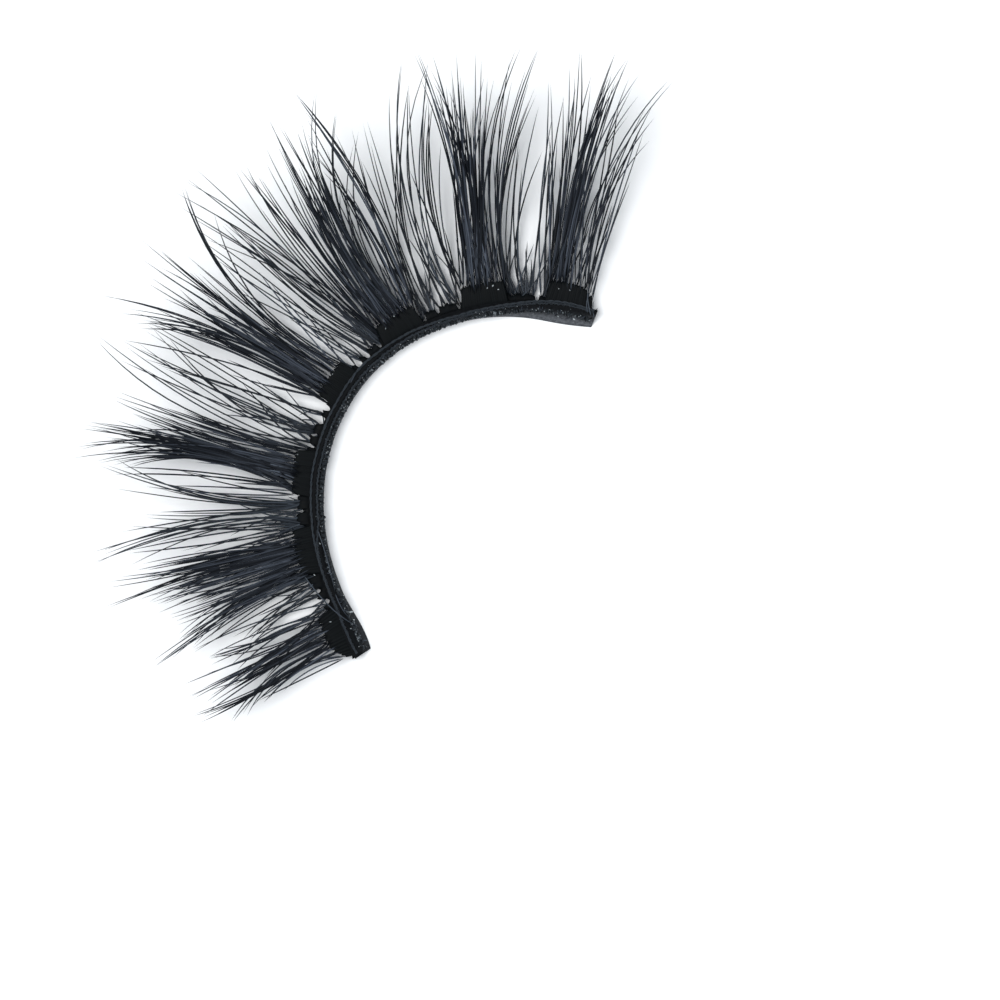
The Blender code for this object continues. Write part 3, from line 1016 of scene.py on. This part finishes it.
@dataclass
class Tuft:
    """Hairs that leave one stretch of the band, lock by lock and strand by strand."""

    path: BandPath
    strands: StrandTree
    chart: Chart
    node: str
    seed: int
    finish: Finish = FIBRE
    slot: str = "lash_fibre"
    lash_length: float = 15.0 * MM
    curl_height: float = 3.4 * MM
    curl_power: float = 2.2
    climb: float = math.radians(8.0)
    hairs_per_strand: int = 3
    girth: float = 0.096 * MM
    girth_range: tuple[float, float] = (0.8, 1.12)
    root_spread: float = 1.4
    side_spread: float = 0.55 * MM
    hair_spread: float = 0.045 * MM
    bend_parting: float = 2.0
    tip_parting: float = 6.5
    shorter: float = 0.25
    shorter_power: float = 1.2
    hair_shorter: float = 0.16
    height_spread: float = 0.3 * MM
    gather: float = 0.5
    bow_spread: float = 0.018
    bend_spread: float = 0.26 * MM
    fill: float = 0.0
    fill_places: tuple[float, float] = (-0.2, 1.2)
    fill_margin: float = 0.02
    fill_spread: float = 6.0
    fill_reach: tuple[float, float] = (0.20, 0.62)
    tone_power: float = 2.3
    hair_tones: tuple[float, float] = (0.3, 1.0)
    random: np.random.Generator = field(init=False)
    hairs: list[Strand] = field(default_factory=list, init=False)

    def __post_init__(self) -> None:
        """Gives the tuft its own repeatable chance."""
        self.random = np.random.default_rng(self.seed)

    @property
    def spread(self) -> float:
        """The share of the band that the tuft takes up."""
        return self.chart.last - self.chart.first

    def rise(self, distance: float) -> float:
        """How far a hair has climbed at a plan distance from its root."""
        curl = self.curl_height * (distance / self.lash_length) ** self.curl_power
        return distance * math.tan(self.climb) + curl

    def directions(self, share: float, lean: float) -> tuple[np.ndarray, np.ndarray]:
        """Level directions along a hair and aside of it.

        Args:
            share: share of the band's length.
            lean: degrees from the band's normal.

        Returns:
            The direction along and the direction aside.
        """
        angle = self.path.place(share)[2] + math.pi / 2.0 - math.radians(lean)
        along = np.array([math.cos(angle), math.sin(angle), 0.0])
        return along, np.array([-along[1], along[0], 0.0])

    def root(self, share: float) -> np.ndarray:
        """A hair's root at a share of the band's length."""
        raise NotImplementedError

    def lay_locks(self) -> None:
        """Lays out the strands of every lock, the first of which keeps the lock's own tip."""
        pitch = self.spread / len(self.chart.locks)
        for number, lock in enumerate(self.chart.locks):
            share = self.chart.first + pitch * (number + 0.5)
            for strand in range(lock.strands):
                self.lay_strand(lock, share, pitch if strand else 0.0)

    def lay_fill(self) -> None:
        """Lays out the tuft's short hairs, lock by lock."""
        low, high = self.fill_margin, 1.0 - self.fill_margin
        for number, lock in enumerate(self.chart.locks):
            for _ in range(round(lock.strands * self.fill)):
                place = (number + self.random.uniform(*self.fill_places)) / len(self.chart.locks)
                share = self.chart.first + self.spread * min(max(place, low), high)
                lean = lock.lean + self.chart.core_lean + self.fill_spread * self.random.normal()
                along, aside = self.directions(share, lean)
                reach = self.lash_length * self.random.uniform(*self.fill_reach)
                root = self.root(share)
                bow = aside * self.bend_spread * self.random.normal()
                self.lay(root, root + along * reach, bow, self.random.uniform() ** self.tone_power)

    def lay_strand(self, lock: Lock, share: float, pitch: float) -> None:
        """Lays out one strand of a lock: a few hairs that nearly stick together.

        Args:
            lock: the charted lock.
            share: the lock's place on the band.
            pitch: distance between locks, or 0 for the strand that keeps the lock's own tip.
        """
        random, loose = self.random, float(pitch > 0.0)
        foot = self.path.points(share, 0.0, 0.0)
        along, aside = self.directions(share, lock.lean + loose * self.chart.core_lean)
        start = share + pitch * self.root_spread * random.uniform(-0.5, 0.5)
        short = loose * self.shorter * random.uniform() ** self.shorter_power
        reach = lock.reach * self.lash_length * (1.0 - short)
        side = loose * self.side_spread * random.normal()
        bow = (lock.bow + loose * random.normal() * self.bow_spread) * reach * 2.0
        bow += self.bend_spread * random.normal()
        # A random tone for the strand; its light end paints sheen on glossy hair.
        tone = random.uniform() ** self.tone_power
        for hair in range(random.integers(1, self.hairs_per_strand + 1)):
            apart = random.normal(size=3) * self.hair_spread * min(hair, 1)
            root = self.root(start + apart[0] / self.path.length)
            length = reach * (1.0 - self.hair_shorter * random.uniform() * min(hair, 1))
            tip = foot + along * length + aside * (side + apart[2] * self.tip_parting)
            sideways = aside * (bow + self.bend_parting * apart[1])
            self.lay(root, tip, sideways, tone * random.uniform(*self.hair_tones))

    def lay_wisp(self, wisp: Wisp) -> None:
        """Lays out one charted hair through the point that it passes.

        Args:
            wisp: the charted hair.
        """
        tip = np.append(self.path.chart_point(wisp.tip_x, wisp.tip_y), 0.0)
        via = np.append(self.path.chart_point(wisp.via_x, wisp.via_y), 0.0)
        share, _ = self.path.nearest(via, self.chart.first, self.chart.last)
        root = self.root(share)
        flat = root * (1.0, 1.0, 0.0)
        first, second = np.linalg.norm(via - flat), np.linalg.norm(tip - via)
        at = first / (first + second)
        bend = (via - flat * (1.0 - at) ** 2 - tip * at * at) / (2.0 * at * (1.0 - at))
        sideways = bend - flat - (tip - flat) * self.gather
        self.lay(root, tip, sideways, self.random.uniform() ** self.tone_power)

    def lay(self, root: np.ndarray, tip: np.ndarray, sideways: np.ndarray, tone: float) -> None:
        """Lays out one hair that climbs from its root to a tip on the plan.

        Args:
            root: its first point.
            tip: its last point on the plan.
            sideways: how far its bend stands aside of the straight line.
            tone: from dark to light.
        """
        distance = float(np.hypot(*(tip - root)[:2]))
        tip = tip.copy()
        uneven = self.random.normal() * self.height_spread * distance / self.lash_length
        tip[2] = root[2] + self.rise(distance) + uneven
        bend = root + (tip - root) * self.gather + sideways
        bend[2] = root[2] + distance * self.gather * math.tan(self.climb)
        self.hairs.append(Strand(root, bend, tip, self.girth * self.random.uniform(*self.girth_range), tone))

    def build_hairs(self) -> bpy.types.Object:
        """Grows the tuft's hairs.

        Returns:
            One piece that stands for the tuft's CAD node.
        """
        self.lay_locks()
        self.lay_fill()
        for wisp in self.chart.wisps:
            self.lay_wisp(wisp)
        return settle(self.strands.grow(f"{self.node}_hairs", self.hairs, self.finish), self.node)


@dataclass
class Cluster(Tuft):
    """A dense tuft with a solid root block."""

    block_finish: Finish = ROOT_BLOCK
    block_start: float = -0.32 * MM
    block_depth: float = 1.05 * MM
    block_thickness: float = 0.42 * MM
    block_narrowing: float = 0.19
    block_drop: float = 0.26 * MM
    block_overhang: float = 0.004
    block_rings: int = 61
    block_around: int = 14
    squareness: tuple[float, float] = (0.35, 0.6)
    corner_length: float = 0.07
    corner_thickness: float = 0.2
    ridge_height: float = 0.035 * MM
    ridge_rate: float = 60.0
    jag: float = 0.10 * MM
    jag_rate: float = 38.0
    slants: tuple[float, float] = (0.0, 0.0)
    slant_start: float = 0.35
    root_depths: tuple[float, float] = (0.34, 1.05)
    root_height: float = 0.8
    surface_share: float = 0.45
    surface_gap: float = 0.02 * MM
    fill: float = 0.9

    def depth_at(self, place: float | np.ndarray) -> float | np.ndarray:
        """The block's depth, less towards a slanted end, at a place from -1 to 1 along it."""
        depths = (1.0 - self.slants[0], 1.0, 1.0, 1.0 - self.slants[1])
        return self.block_depth * np.interp(place, (-1.0, -self.slant_start, self.slant_start, 1.0), depths)

    def root(self, share: float) -> np.ndarray:
        """A hair's root, inside the block or on its upper face.

        Args:
            share: share of the band's length.

        Returns:
            The root's point.
        """
        place = 2.0 * (share - self.chart.first) / self.spread - 1.0
        depth = float(self.depth_at(place)) * self.random.uniform(*self.root_depths)
        half = self.block_thickness / 2.0
        if self.random.uniform() < self.surface_share:
            lift = half + self.surface_gap
        else:
            lift = self.random.uniform(-self.root_height, self.root_height) * half
        height = self.path.top(share) - self.block_drop + depth * math.tan(self.climb) + lift
        return self.path.points(share, self.path.face(share, height, 1) + depth, height)

    def build_block(self) -> bpy.types.Object:
        """The glued root block: fine ridges run out along it to a ragged edge.

        Returns:
            The new piece.
        """
        across = np.linspace(-1.0, 1.0, self.block_rings)[:, None]
        middle, half = (self.chart.first + self.chart.last) / 2.0, self.spread / 2.0 + self.block_overhang
        angle = np.linspace(0.0, math.tau, self.block_around, endpoint=False)[None, :]
        reach, lift = (np.sign(wave) * np.abs(wave) ** power
                       for wave, power in zip((np.cos(angle), np.sin(angle)), self.squareness))
        reach = (reach + 1.0) / 2.0
        share = middle + across * half * (1.0 - self.block_narrowing * reach)
        corner = (np.abs(across) - 1.0 + self.corner_length).clip(0.0) / self.corner_length
        ends = np.interp(np.sqrt((1.0 - corner ** 2).clip(0.0)), (0.0, 1.0), (self.corner_thickness, 1.0))
        depth = self.depth_at(across) + self.jag * ripple(across * self.jag_rate, self.seed)
        ridges = self.ridge_height * ripple(across * self.ridge_rate, self.seed + 1)
        height = (self.path.top(share) - self.block_drop + reach * depth * math.tan(self.climb)
                  + lift * self.block_thickness / 2.0 * ends + ridges * lift.clip(0.0))
        outward = self.path.face(share, height, 1) + self.block_start * (1.0 - reach) + depth * reach
        points = self.path.points(share, outward, height)
        return settle(loft(f"{self.node}_root_block", points, self.block_finish), self.node)


@dataclass
class CrossedFan(Tuft):
    """A thin tuft whose hairs leave the web in stems and cross each other."""

    finish: Finish = FINE_FIBRE
    slot: str = "lash_fibre_fine"
    climb: float = math.radians(2.0)
    girth: float = 0.098 * MM
    hairs_per_strand: int = 2
    root_spread: float = 1.0
    side_spread: float = 0.6 * MM
    shorter: float = 0.30
    gather: float = 0.32
    bend_spread: float = 0.62 * MM
    fill: float = 0.9
    fill_spread: float = 9.0
    fill_reach: tuple[float, float] = (0.08, 0.42)
    tone_power: float = 1.6
    root_drop: float = 0.60 * MM
    root_depth: float = 0.12 * MM
    root_outward: float = 0.12 * MM
    crossing: float = 1.1
    stem_spread: float = 0.035 * MM
    windows: WebWindows | None = None

    def root(self, share: float) -> np.ndarray:
        """A hair's root in one of the stems near its share, so that hairs of two stems cross.

        Args:
            share: share of the band's length.

        Returns:
            The root's point.
        """
        stems = self.windows.stems(self.chart.first, self.chart.last)
        place = (share - self.chart.first) / self.spread
        number = round(place * len(stems) - 0.5 + self.random.normal() * self.crossing)
        wander = self.random.normal() * self.stem_spread / self.path.length
        stem = stems[min(max(number, 0), len(stems) - 1)] + wander
        height = self.path.top(stem) - self.root_drop + self.random.uniform(-0.5, 0.5) * self.root_depth
        return self.path.points(stem, self.path.face(stem, height, 1) + self.root_outward, height)


# Band


class Winding(NamedTuple):
    """One thread's turns: pitch, radius and thickness in millimetres, start in radians, unevenness."""

    pitch: float
    radius: float
    thickness: float
    start: float
    unevenness: float


class Cord(NamedTuple):
    """Threads wound along the band: shares of its length, and millimetres in from its outer top edge."""

    name: str
    slot: str
    node: str
    finish: Finish
    drop: float
    steps: int
    sides: int
    shares: tuple[float, ...]
    insets: tuple[float, ...]
    windings: tuple[Winding, ...]


BINDING_THREAD = Cord(
    "binding_thread_plies", "binding_thread", "binding_thread", THREAD, -0.03, 1200, 6,
    shares=(0.0, 0.10, 0.20, 0.56, 0.66, 0.747, 0.85, 0.918, 1.0),
    insets=(0.34, 0.24, 0.18, 0.17, 0.36, 0.56, 0.44, 0.24, 0.22),
    windings=(Winding(0.9, 0.0357, 0.085, 0.0, 0.35), Winding(0.9, 0.0357, 0.085, math.pi, 0.35)),
)
INNER_CORD = Cord(
    "inner_cord", "band_cotton", "", THREAD, -0.02, 1700, 5,
    shares=(0.0, 0.073, 0.119, 0.17, 0.206, 0.25, 0.40, 0.60, 0.66, 0.747, 0.85, 0.918, 1.0),
    insets=(0.34, 0.28, 0.25, 0.22, 0.26, 0.56, 0.55, 0.58, 0.60, 0.69, 0.56, 0.35, 0.33),
    windings=(Winding(0.9, 0.015, 0.09, 0.0, 0.3), Winding(0.24, 0.065, 0.05, 0.0, 1.1),
              Winding(-0.37, 0.08, 0.045, 1.0, 1.3)),
)
KNOT_WRAPS = Cord(
    "knot_wraps", "band_cotton", "", KNOT, 0.23, 1700, 5,
    shares=(0.0, 0.08, 0.17, 0.25, 0.5, 0.75, 0.84, 0.92, 1.0),
    insets=(0.60, 0.66, 0.60, 0.72, 0.69, 0.75, 0.74, 0.60, 0.56),
    windings=(Winding(0.27, 0.12, 0.10, 0.0, 1.1), Winding(0.3699, 0.14, 0.10, 2.0, 1.3),
              Winding(-0.594, 0.10, 0.10, 4.0, 0.9)),
)


class Corner(NamedTuple):
    """A corner of the ribbon's section: from the inner face (-1) to the outer (1), and up (0 to 1)."""

    side: float
    level: float


RIBBON_SECTION = (
    Corner(-1, 0.0), Corner(0, 0.0), Corner(1, 0.0), Corner(1, 0.5), Corner(1, 0.94), Corner(0.5, 1.0),
    Corner(0.1, 0.96), Corner(-0.3, 1.0), Corner(-0.7, 0.97), Corner(-1, 0.85), Corner(-1, 0.5),
    Corner(-1, 0.2),
)


@dataclass
class LashBand:
    """The knotted cotton band with its glue web and the cords along its top."""

    path: BandPath
    windows: WebWindows
    winder: WindTree = WindTree()
    rings: int = 260
    end_length: float = 3.0 * MM
    end_narrowing: float = 0.62
    bevel_height: float = 0.28
    bevel_width: float = 0.45
    rough_height: float = 0.03 * MM
    rough_rise: float = 0.02 * MM
    rough_rate: float = 9.0 / MM
    rough_seed: int = 40
    web_rings: int = 1400
    web_around: int = 10
    web_thickness: float = 0.34 * MM
    web_drop: float = 0.52 * MM
    web_inset: float = 0.10 * MM
    web_least: float = 0.12 * MM
    path_steps: int = 400
    wander: float = 0.03 * MM
    wander_rate: float = 0.8 / MM
    wander_seed: int = 21

    def build_ribbon(self) -> bpy.types.Object:
        """The ribbon itself, rough on its top and its inner face and bevelled beside the outer blocks, with
        painted light on the lower part of its inner face.

        Returns:
            The new piece.
        """
        share = np.linspace(0.0, 1.0, self.rings)[:, None]
        depth = 1.0 - np.minimum(share, 1.0 - share) * self.path.length / self.end_length
        narrowing = 1.0 - self.end_narrowing * depth.clip(0.0) ** 2
        # Painted light: the inner face is paler towards its foot, a quarter as much towards the inner end as
        # on the outer half.
        painted_light_share = np.interp(share, (0.40, 0.62), (0.25, 1.0))
        bevel = np.interp(share, (0.52, 0.66, 0.86, 0.95), (0.0, 1.0, 1.0, 0.3))
        columns, tones = [], []
        for number, (side, level) in enumerate(RIBBON_SECTION):
            on_table, outer_top = level < 0.1, side == 1 and level > 0.9
            rough = self.rough_height * ripple(share * self.path.length * self.rough_rate,
                                               self.rough_seed + number) * (not on_table)
            height = self.path.top(share) * (level - bevel * self.bevel_height * outer_top)
            outer, inner = (self.path.face(share, height, way) for way in (1, -1))
            pulled = side - bevel * self.bevel_width * (0.0 < side < 1)
            place = (1.0 + (pulled - 1.0) * narrowing) / 2.0
            outward = (outer + inner) / 2.0 + (outer - inner) * place + rough * side
            tones.append(painted_light_share * max(0.0, 1.0 - 1.1 * level) * (side == -1))
            columns.append(self.path.points(share, outward, height + np.minimum(rough, self.rough_rise)))
        piece = loft("band_ribbon", np.concatenate(columns, 1), RIBBON, np.concatenate(tones, 1))
        return settle(piece, "lash_band")

    def build_web(self) -> bpy.types.Object:
        """The glue web along the outer face, with rounded openings between the stems of the fans.

        Returns:
            The new piece.
        """
        share = np.linspace(0.002, 0.998, self.web_rings)[:, None]
        angle = np.linspace(0.0, math.tau, self.web_around, endpoint=False)[None, :]
        out = (np.sign(np.cos(angle)) * np.abs(np.cos(angle)) ** 0.6 + 1.0) / 2.0
        lift = np.sin(angle) * (1.0 - 0.55 * out ** 2)
        height = self.path.top(share) - self.web_drop + lift * self.web_thickness / 2.0
        start = self.path.face(share, height, 1) - self.web_inset
        edge = np.maximum(self.windows.edge(share), start + self.web_least)
        points = self.path.points(share, start + out * (edge - start), height)
        return settle(loft("glue_web", points, GLUE))

    def build_cord(self, cord: Cord) -> bpy.types.Object:
        """Winds the threads of one cord along the band's top and joins them.

        Args:
            cord: the cord.

        Returns:
            The new piece.
        """
        share = np.linspace(0.006, 0.994, self.path_steps)
        height = self.path.top(share) - cord.drop * MM
        wander = self.wander * ripple(share * self.path.length * self.wander_rate, self.wander_seed)
        inset = np.interp(share, cord.shares, cord.insets) * MM
        points = self.path.points(share, self.path.face(share, height, 1) - inset + wander, height)
        heading = self.path.place(share)[:, 2]
        outward = np.stack([-np.sin(heading), np.cos(heading), np.zeros_like(heading)], -1)
        build = bmesh.new()
        for number, winding in enumerate(cord.windings):
            build.from_mesh(self.winder.wind(f"{cord.name}_{number}", points, outward, {
                "Steps": cord.steps, "Sides": cord.sides, "Pitch": winding.pitch * MM,
                "Radius": winding.radius * MM, "Thickness": winding.thickness * MM,
                "Phase": winding.start, "Unevenness": winding.unevenness, "Finish": cord.finish.make(),
            }))
        mesh = bpy.data.meshes.new(cord.name)
        build.to_mesh(mesh)
        build.free()
        shift_rows(mesh, len(cord.windings))
        mesh.materials.append(cord.finish.make())
        return settle(new_object(cord.name, mesh), cord.node)


def shift_rows(mesh: bpy.types.Mesh, count: int) -> None:
    """Stacks the UV maps of joined equal meshes in rows, so that none covers another.

    Args:
        mesh: the joined mesh, part after part.
        count: number of parts.
    """
    layer = mesh.uv_layers.active or mesh.uv_layers[0]
    uv = np.zeros(len(layer.data) * 2, np.float32)
    layer.data.foreach_get("uv", uv)
    uv = uv.reshape(count, -1, 2)
    uv[:, :, 1] = (uv[:, :, 1] * 0.98 + np.arange(count)[:, None]) / count
    layer.data.foreach_set("uv", uv.ravel())


# Loose ends


class LooseHair(NamedTuple):
    """A stray fibre on the plan in millimetres, from its start past a point to its end, and its height."""

    start_x: float
    start_y: float
    via_x: float
    via_y: float
    end_x: float
    end_y: float
    height: float
    girth: float


LOOSE_HAIRS = (
    LooseHair(-10.35, 5.95, -11.12, 3.3, -11.1, 1.1, 1.55, 0.075),
    LooseHair(-7.55, 6.8, -9.0, 4.95, -10.25, 3.6, 1.35, 0.06),
    LooseHair(-10.25, 3.6, -10.75, 2.8, -11.0, 2.1, 1.32, 0.06),
    LooseHair(0.75, 10.0, 1.2, 10.05, 1.65, 10.15, 1.35, 0.04),
    LooseHair(12.3, 0.2, 13.2, 1.1, 14.0, 1.4, 1.0, 0.07),
    LooseHair(12.35, 0.5, 13.0, 1.0, 13.7, 1.1, 0.9, 0.07),
    LooseHair(12.3, 0.0, 12.9, 0.5, 13.2, 0.6, 0.8, 0.06),
)


class Glint(NamedTuple):
    """A bead of clear glue whose pale colour is a painted glint: its place on the plan, its height above the
    table and its size, in mm.
    """

    x: float
    y: float
    height: float
    size: float


GLINTS = (
    Glint(-5.5, 10.0, 1.25, 0.12), Glint(-5.05, 10.1, 1.25, 0.09), Glint(-4.6, 10.2, 1.25, 0.10),
    Glint(-0.4, 11.3, 1.25, 0.09), Glint(0.6, 11.2, 1.25, 0.10), Glint(4.7, 10.1, 1.25, 0.10),
    Glint(5.6, 10.1, 1.25, 0.12), Glint(6.3, 10.1, 1.25, 0.08), Glint(10.2, 6.4, 1.25, 0.10),
    Glint(10.5, 6.2, 1.25, 0.15), Glint(10.5, 5.8, 1.25, 0.11), Glint(11.2, 3.5, 0.9, 0.16),
    Glint(12.6, 2.8, 1.2, 0.08), Glint(12.9, 2.2, 1.2, 0.10), Glint(11.6, 1.0, 0.9, 0.18),
    Glint(11.2, 1.9, 0.9, 0.11), Glint(-10.65, 2.15, 0.9, 0.22), Glint(-10.95, 1.75, 0.9, 0.13),
    Glint(-8.3, 6.05, 1.25, 0.14), Glint(-10.05, 5.25, 0.75, 0.16), Glint(-11.85, 2.85, 1.15, 0.13),
    Glint(-11.5, 1.6, 1.15, 0.08), Glint(-11.6, 1.15, 1.1, 0.09),
)


@dataclass
class GlueBeads:
    """Small beads of clear glue on the knots and at the blocks' edges, each a drop by Geometry Nodes,
    coloured pale as painted glints.
    """

    path: BandPath
    knot_beads: int = 120
    knot_inset: float = 0.74 * MM
    knot_spread: float = 0.12 * MM
    heights: tuple[float, float] = (0.02, 0.10)
    sizes: tuple[float, float] = (0.03 * MM, 0.08 * MM)
    shape: tuple[float, float] = (1.2, 0.6)
    flatness: float = 0.7
    seed: int = 500
    turn_seed: int = 7

    def tree(self) -> bpy.types.NodeTree:
        """Makes the tree that sets a flattened drop on every point.

        Returns:
            The geometry tree.
        """
        tree, given = Tree.open_group("scatter_beads", {
            "Points": "Geometry", "Flatness": "Float", "Finish": "Material",
        })
        drop = tree.add("GeometryNodeMeshIcoSphere", {}, {"Radius": 0.5, "Subdivisions": 1})
        size = tree.attribute("size")
        turn = tree.add("FunctionNodeRandomValue", {"data_type": "FLOAT"},
                        {"Min": 0.0, "Max": math.tau, "Seed": self.turn_seed}, output=1)
        scale = tree.add("ShaderNodeCombineXYZ", {}, {
            "X": size * self.shape[0], "Y": size * self.shape[1], "Z": size * given["Flatness"],
        })
        beads = tree.add("GeometryNodeInstanceOnPoints", {}, {
            "Points": given["Points"], "Instance": drop, "Scale": scale,
            "Rotation": tree.add("ShaderNodeCombineXYZ", {}, {"Z": turn}),
        })
        beads = tree.add("GeometryNodeRealizeInstances", {}, {"Geometry": beads})
        return tree.close_group(beads, given["Finish"])

    def build(self) -> bpy.types.Object:
        """Sets the charted beads and the scattered ones.

        Returns:
            The new piece.
        """
        random = np.random.default_rng(self.seed)
        places = [np.append(self.path.chart_point(glint.x, glint.y), glint.height * MM) for glint in GLINTS]
        sizes = [glint.size * MM for glint in GLINTS]
        for _ in range(self.knot_beads):
            share = random.uniform(0.01, 0.99)
            top = self.path.top(share)
            height = top + random.uniform(*self.heights) * MM
            inset = self.knot_inset + random.normal() * self.knot_spread
            places.append(self.path.points(share, self.path.face(share, top, 1) - inset, height))
            sizes.append(random.uniform(*self.sizes))
        seed = seed_mesh("glue_bead_places", places, size=sizes)
        mesh = run_tree(self.tree(), seed, "glue_beads", {"Flatness": self.flatness, "Finish": GLINT_BEAD.make()})
        return settle(new_object("glue_beads", mesh))


@dataclass
class LooseEnds:
    """Stray fibres that lie over the band, and the cut ends of its knots."""

    path: BandPath
    stubs: int = 90
    stub_levels: tuple[float, float] = (0.55, 1.0)
    stub_lengths: tuple[float, float] = (0.08, 0.24)
    stub_rises: tuple[float, float] = (-0.1, 0.15)
    stub_girths: tuple[float, float] = (0.05, 0.08)
    stub_slant: float = 0.006
    stub_root: float = 0.15 * MM
    seed: int = 400

    def build_hairs(self) -> bpy.types.Object:
        """The charted stray fibres.

        Returns:
            The new piece.
        """
        hairs = []
        for hair in LOOSE_HAIRS:
            start, via, end = (
                np.append(self.path.chart_point(x, y), height * MM)
                for x, y, height in ((hair.start_x, hair.start_y, hair.height),
                                     (hair.via_x, hair.via_y, hair.height),
                                     (hair.end_x, hair.end_y, hair.height * 0.9))
            )
            hairs.append(Strand(start, 2.0 * via - (start + end) / 2.0, end, hair.girth * MM, 1.0))
        return settle(StrandTree().grow("stray_fibres", hairs, FINE_FIBRE))

    def build_stubs(self) -> bpy.types.Object:
        """Short cut ends that stick out of the knots on the inner side.

        Returns:
            The new piece.
        """
        random = np.random.default_rng(self.seed)
        hairs = []
        for _ in range(self.stubs):
            share = random.uniform(0.01, 0.99)
            height = float(self.path.top(share)) * random.uniform(*self.stub_levels)
            inner = float(self.path.face(share, height, -1))
            aside = random.normal() * self.stub_slant
            length = random.uniform(*self.stub_lengths) * MM
            root = self.path.points(share, inner + self.stub_root, height)
            rise = random.uniform(*self.stub_rises) * MM
            tip = self.path.points(share + aside, inner - length, height + rise)
            bend = self.path.points(share + aside * 0.3, inner - length * 0.4, height + 0.05 * MM)
            hairs.append(Strand(root, bend, tip, random.uniform(*self.stub_girths) * MM, random.uniform()))
        short = StrandTree(steps=6, sides=4, taper_power=8.0)
        return settle(short.grow("knot_ends", hairs, FIBRE))


# Studio


class SoftLight(NamedTuple):
    """A square light that points at the strip: its place, the length of its side and its power."""

    name: str
    place: tuple[float, float, float]
    size: float
    watts: float


SOFT_LIGHTS = (SoftLight("key", (-0.2, 0.3, 0.9), 0.6, 8.0), SoftLight("fill", (0.4, -0.25, 0.8), 0.5, 2.0))


@dataclass
class Studio:
    """The pale table, the soft light and the camera straight above."""

    path: BandPath
    aim_x: float = 0.03
    aim_y: float = -1.47
    field: float = 60.6 * MM
    distance: float = 1.2
    right: tuple[float, float] = (0.5639, -0.8259)
    table_size: float = 2.0
    table_drop: float = 0.01 * MM
    table_white: Rgb = Rgb(0.93, 0.94, 0.95)
    sky: Rgb = Rgb(0.88, 0.94, 1.0)
    sky_strength: float = 0.42

    def build(self) -> None:
        """Adds the table, lights and camera."""
        self.add_table()
        self.add_lights()
        self.add_camera()

    def add_table(self) -> None:
        """A wide pale floor just below the strip."""
        build = bmesh.new()
        bmesh.ops.create_grid(build, x_segments=1, y_segments=1, size=self.table_size)
        mesh = bpy.data.meshes.new("table")
        build.to_mesh(mesh)
        build.free()
        mesh.transform(Matrix.Translation((0.0, 0.0, -self.table_drop)))
        material = bpy.data.materials.new("white_table")
        material.use_nodes = True
        shader = material.node_tree.nodes["Principled BSDF"]
        shader.inputs["Base Color"].default_value = self.table_white.rgba()
        shader.inputs["Roughness"].default_value = 0.9
        shader.inputs["Specular IOR Level"].default_value = 0.1
        mesh.materials.append(material)
        new_object("table", mesh)

    def add_lights(self) -> None:
        """A large soft key from above, a weak fill and a bright even surround."""
        for light in SOFT_LIGHTS:
            data = bpy.data.lights.new(light.name, "AREA")
            data.shape, data.size, data.energy = "SQUARE", light.size, light.watts
            lamp = bpy.data.objects.new(light.name, data)
            lamp.location = light.place
            lamp.rotation_euler = (-Vector(light.place)).to_track_quat("-Z", "Y").to_euler()
            bpy.context.scene.collection.objects.link(lamp)
        world = bpy.data.worlds.new("studio")
        world.use_nodes = True
        background = world.node_tree.nodes["Background"]
        background.inputs["Color"].default_value = self.sky.rgba()
        background.inputs["Strength"].default_value = self.sky_strength
        bpy.context.scene.world = world

    def add_camera(self) -> None:
        """A long lens straight above, turned as the strip lies in the picture."""
        data = bpy.data.cameras.new("camera")
        data.sensor_width = 36.0
        data.lens = data.sensor_width * self.distance / self.field
        data.clip_start = 0.01
        data.clip_end = 10.0
        camera = bpy.data.objects.new("camera", data)
        x, y = self.path.chart_point(self.aim_x, self.aim_y)
        right = Vector((*self.right, 0.0)).normalized()
        up = Vector((0.0, 0.0, 1.0)).cross(right)
        turn = Matrix((right, up, Vector((0.0, 0.0, 1.0)))).transposed().to_4x4()
        camera.matrix_world = Matrix.Translation((x, y, self.distance)) @ turn
        bpy.context.scene.collection.objects.link(camera)
        bpy.context.scene.camera = camera
        bpy.context.scene.view_settings.view_transform = "Standard"


def report(*pieces: bpy.types.Object) -> None:
    """Logs each finished piece with its number of faces."""
    for piece in pieces:
        LOG.info("%s: %d faces", piece.name, len(piece.data.polygons))


def main() -> None:
    """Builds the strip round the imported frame, piece by piece."""
    logging.basicConfig(level=logging.INFO, format="%(name)s: %(message)s")
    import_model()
    path = BandPath()
    windows = WebWindows(path)
    band = LashBand(path, windows)
    report(band.build_ribbon(), band.build_web())
    report(*(band.build_cord(cord) for cord in (BINDING_THREAD, INNER_CORD, KNOT_WRAPS)))
    report(GlueBeads(path).build())
    plain, flared = StrandTree(), StrandTree(root_flare=1.4)
    for number, chart in enumerate(CLUSTER_CHARTS, start=1):
        slants = BLOCK_SLANTS.get(number, (0.0, 0.0))
        tuft = Cluster(path, plain, chart, f"lash_cluster_{number}", 100 + number, slants=slants)
        report(tuft.build_block(), tuft.build_hairs())
    for number, chart in enumerate(FAN_CHARTS, start=1):
        fan = CrossedFan(path, flared, chart, f"crossed_fan_{number}", 200 + number, windows=windows)
        report(fan.build_hairs())
    loose = LooseEnds(path)
    report(loose.build_hairs(), loose.build_stubs())
    Studio(path).build()


if __name__ == "__main__":
    main()
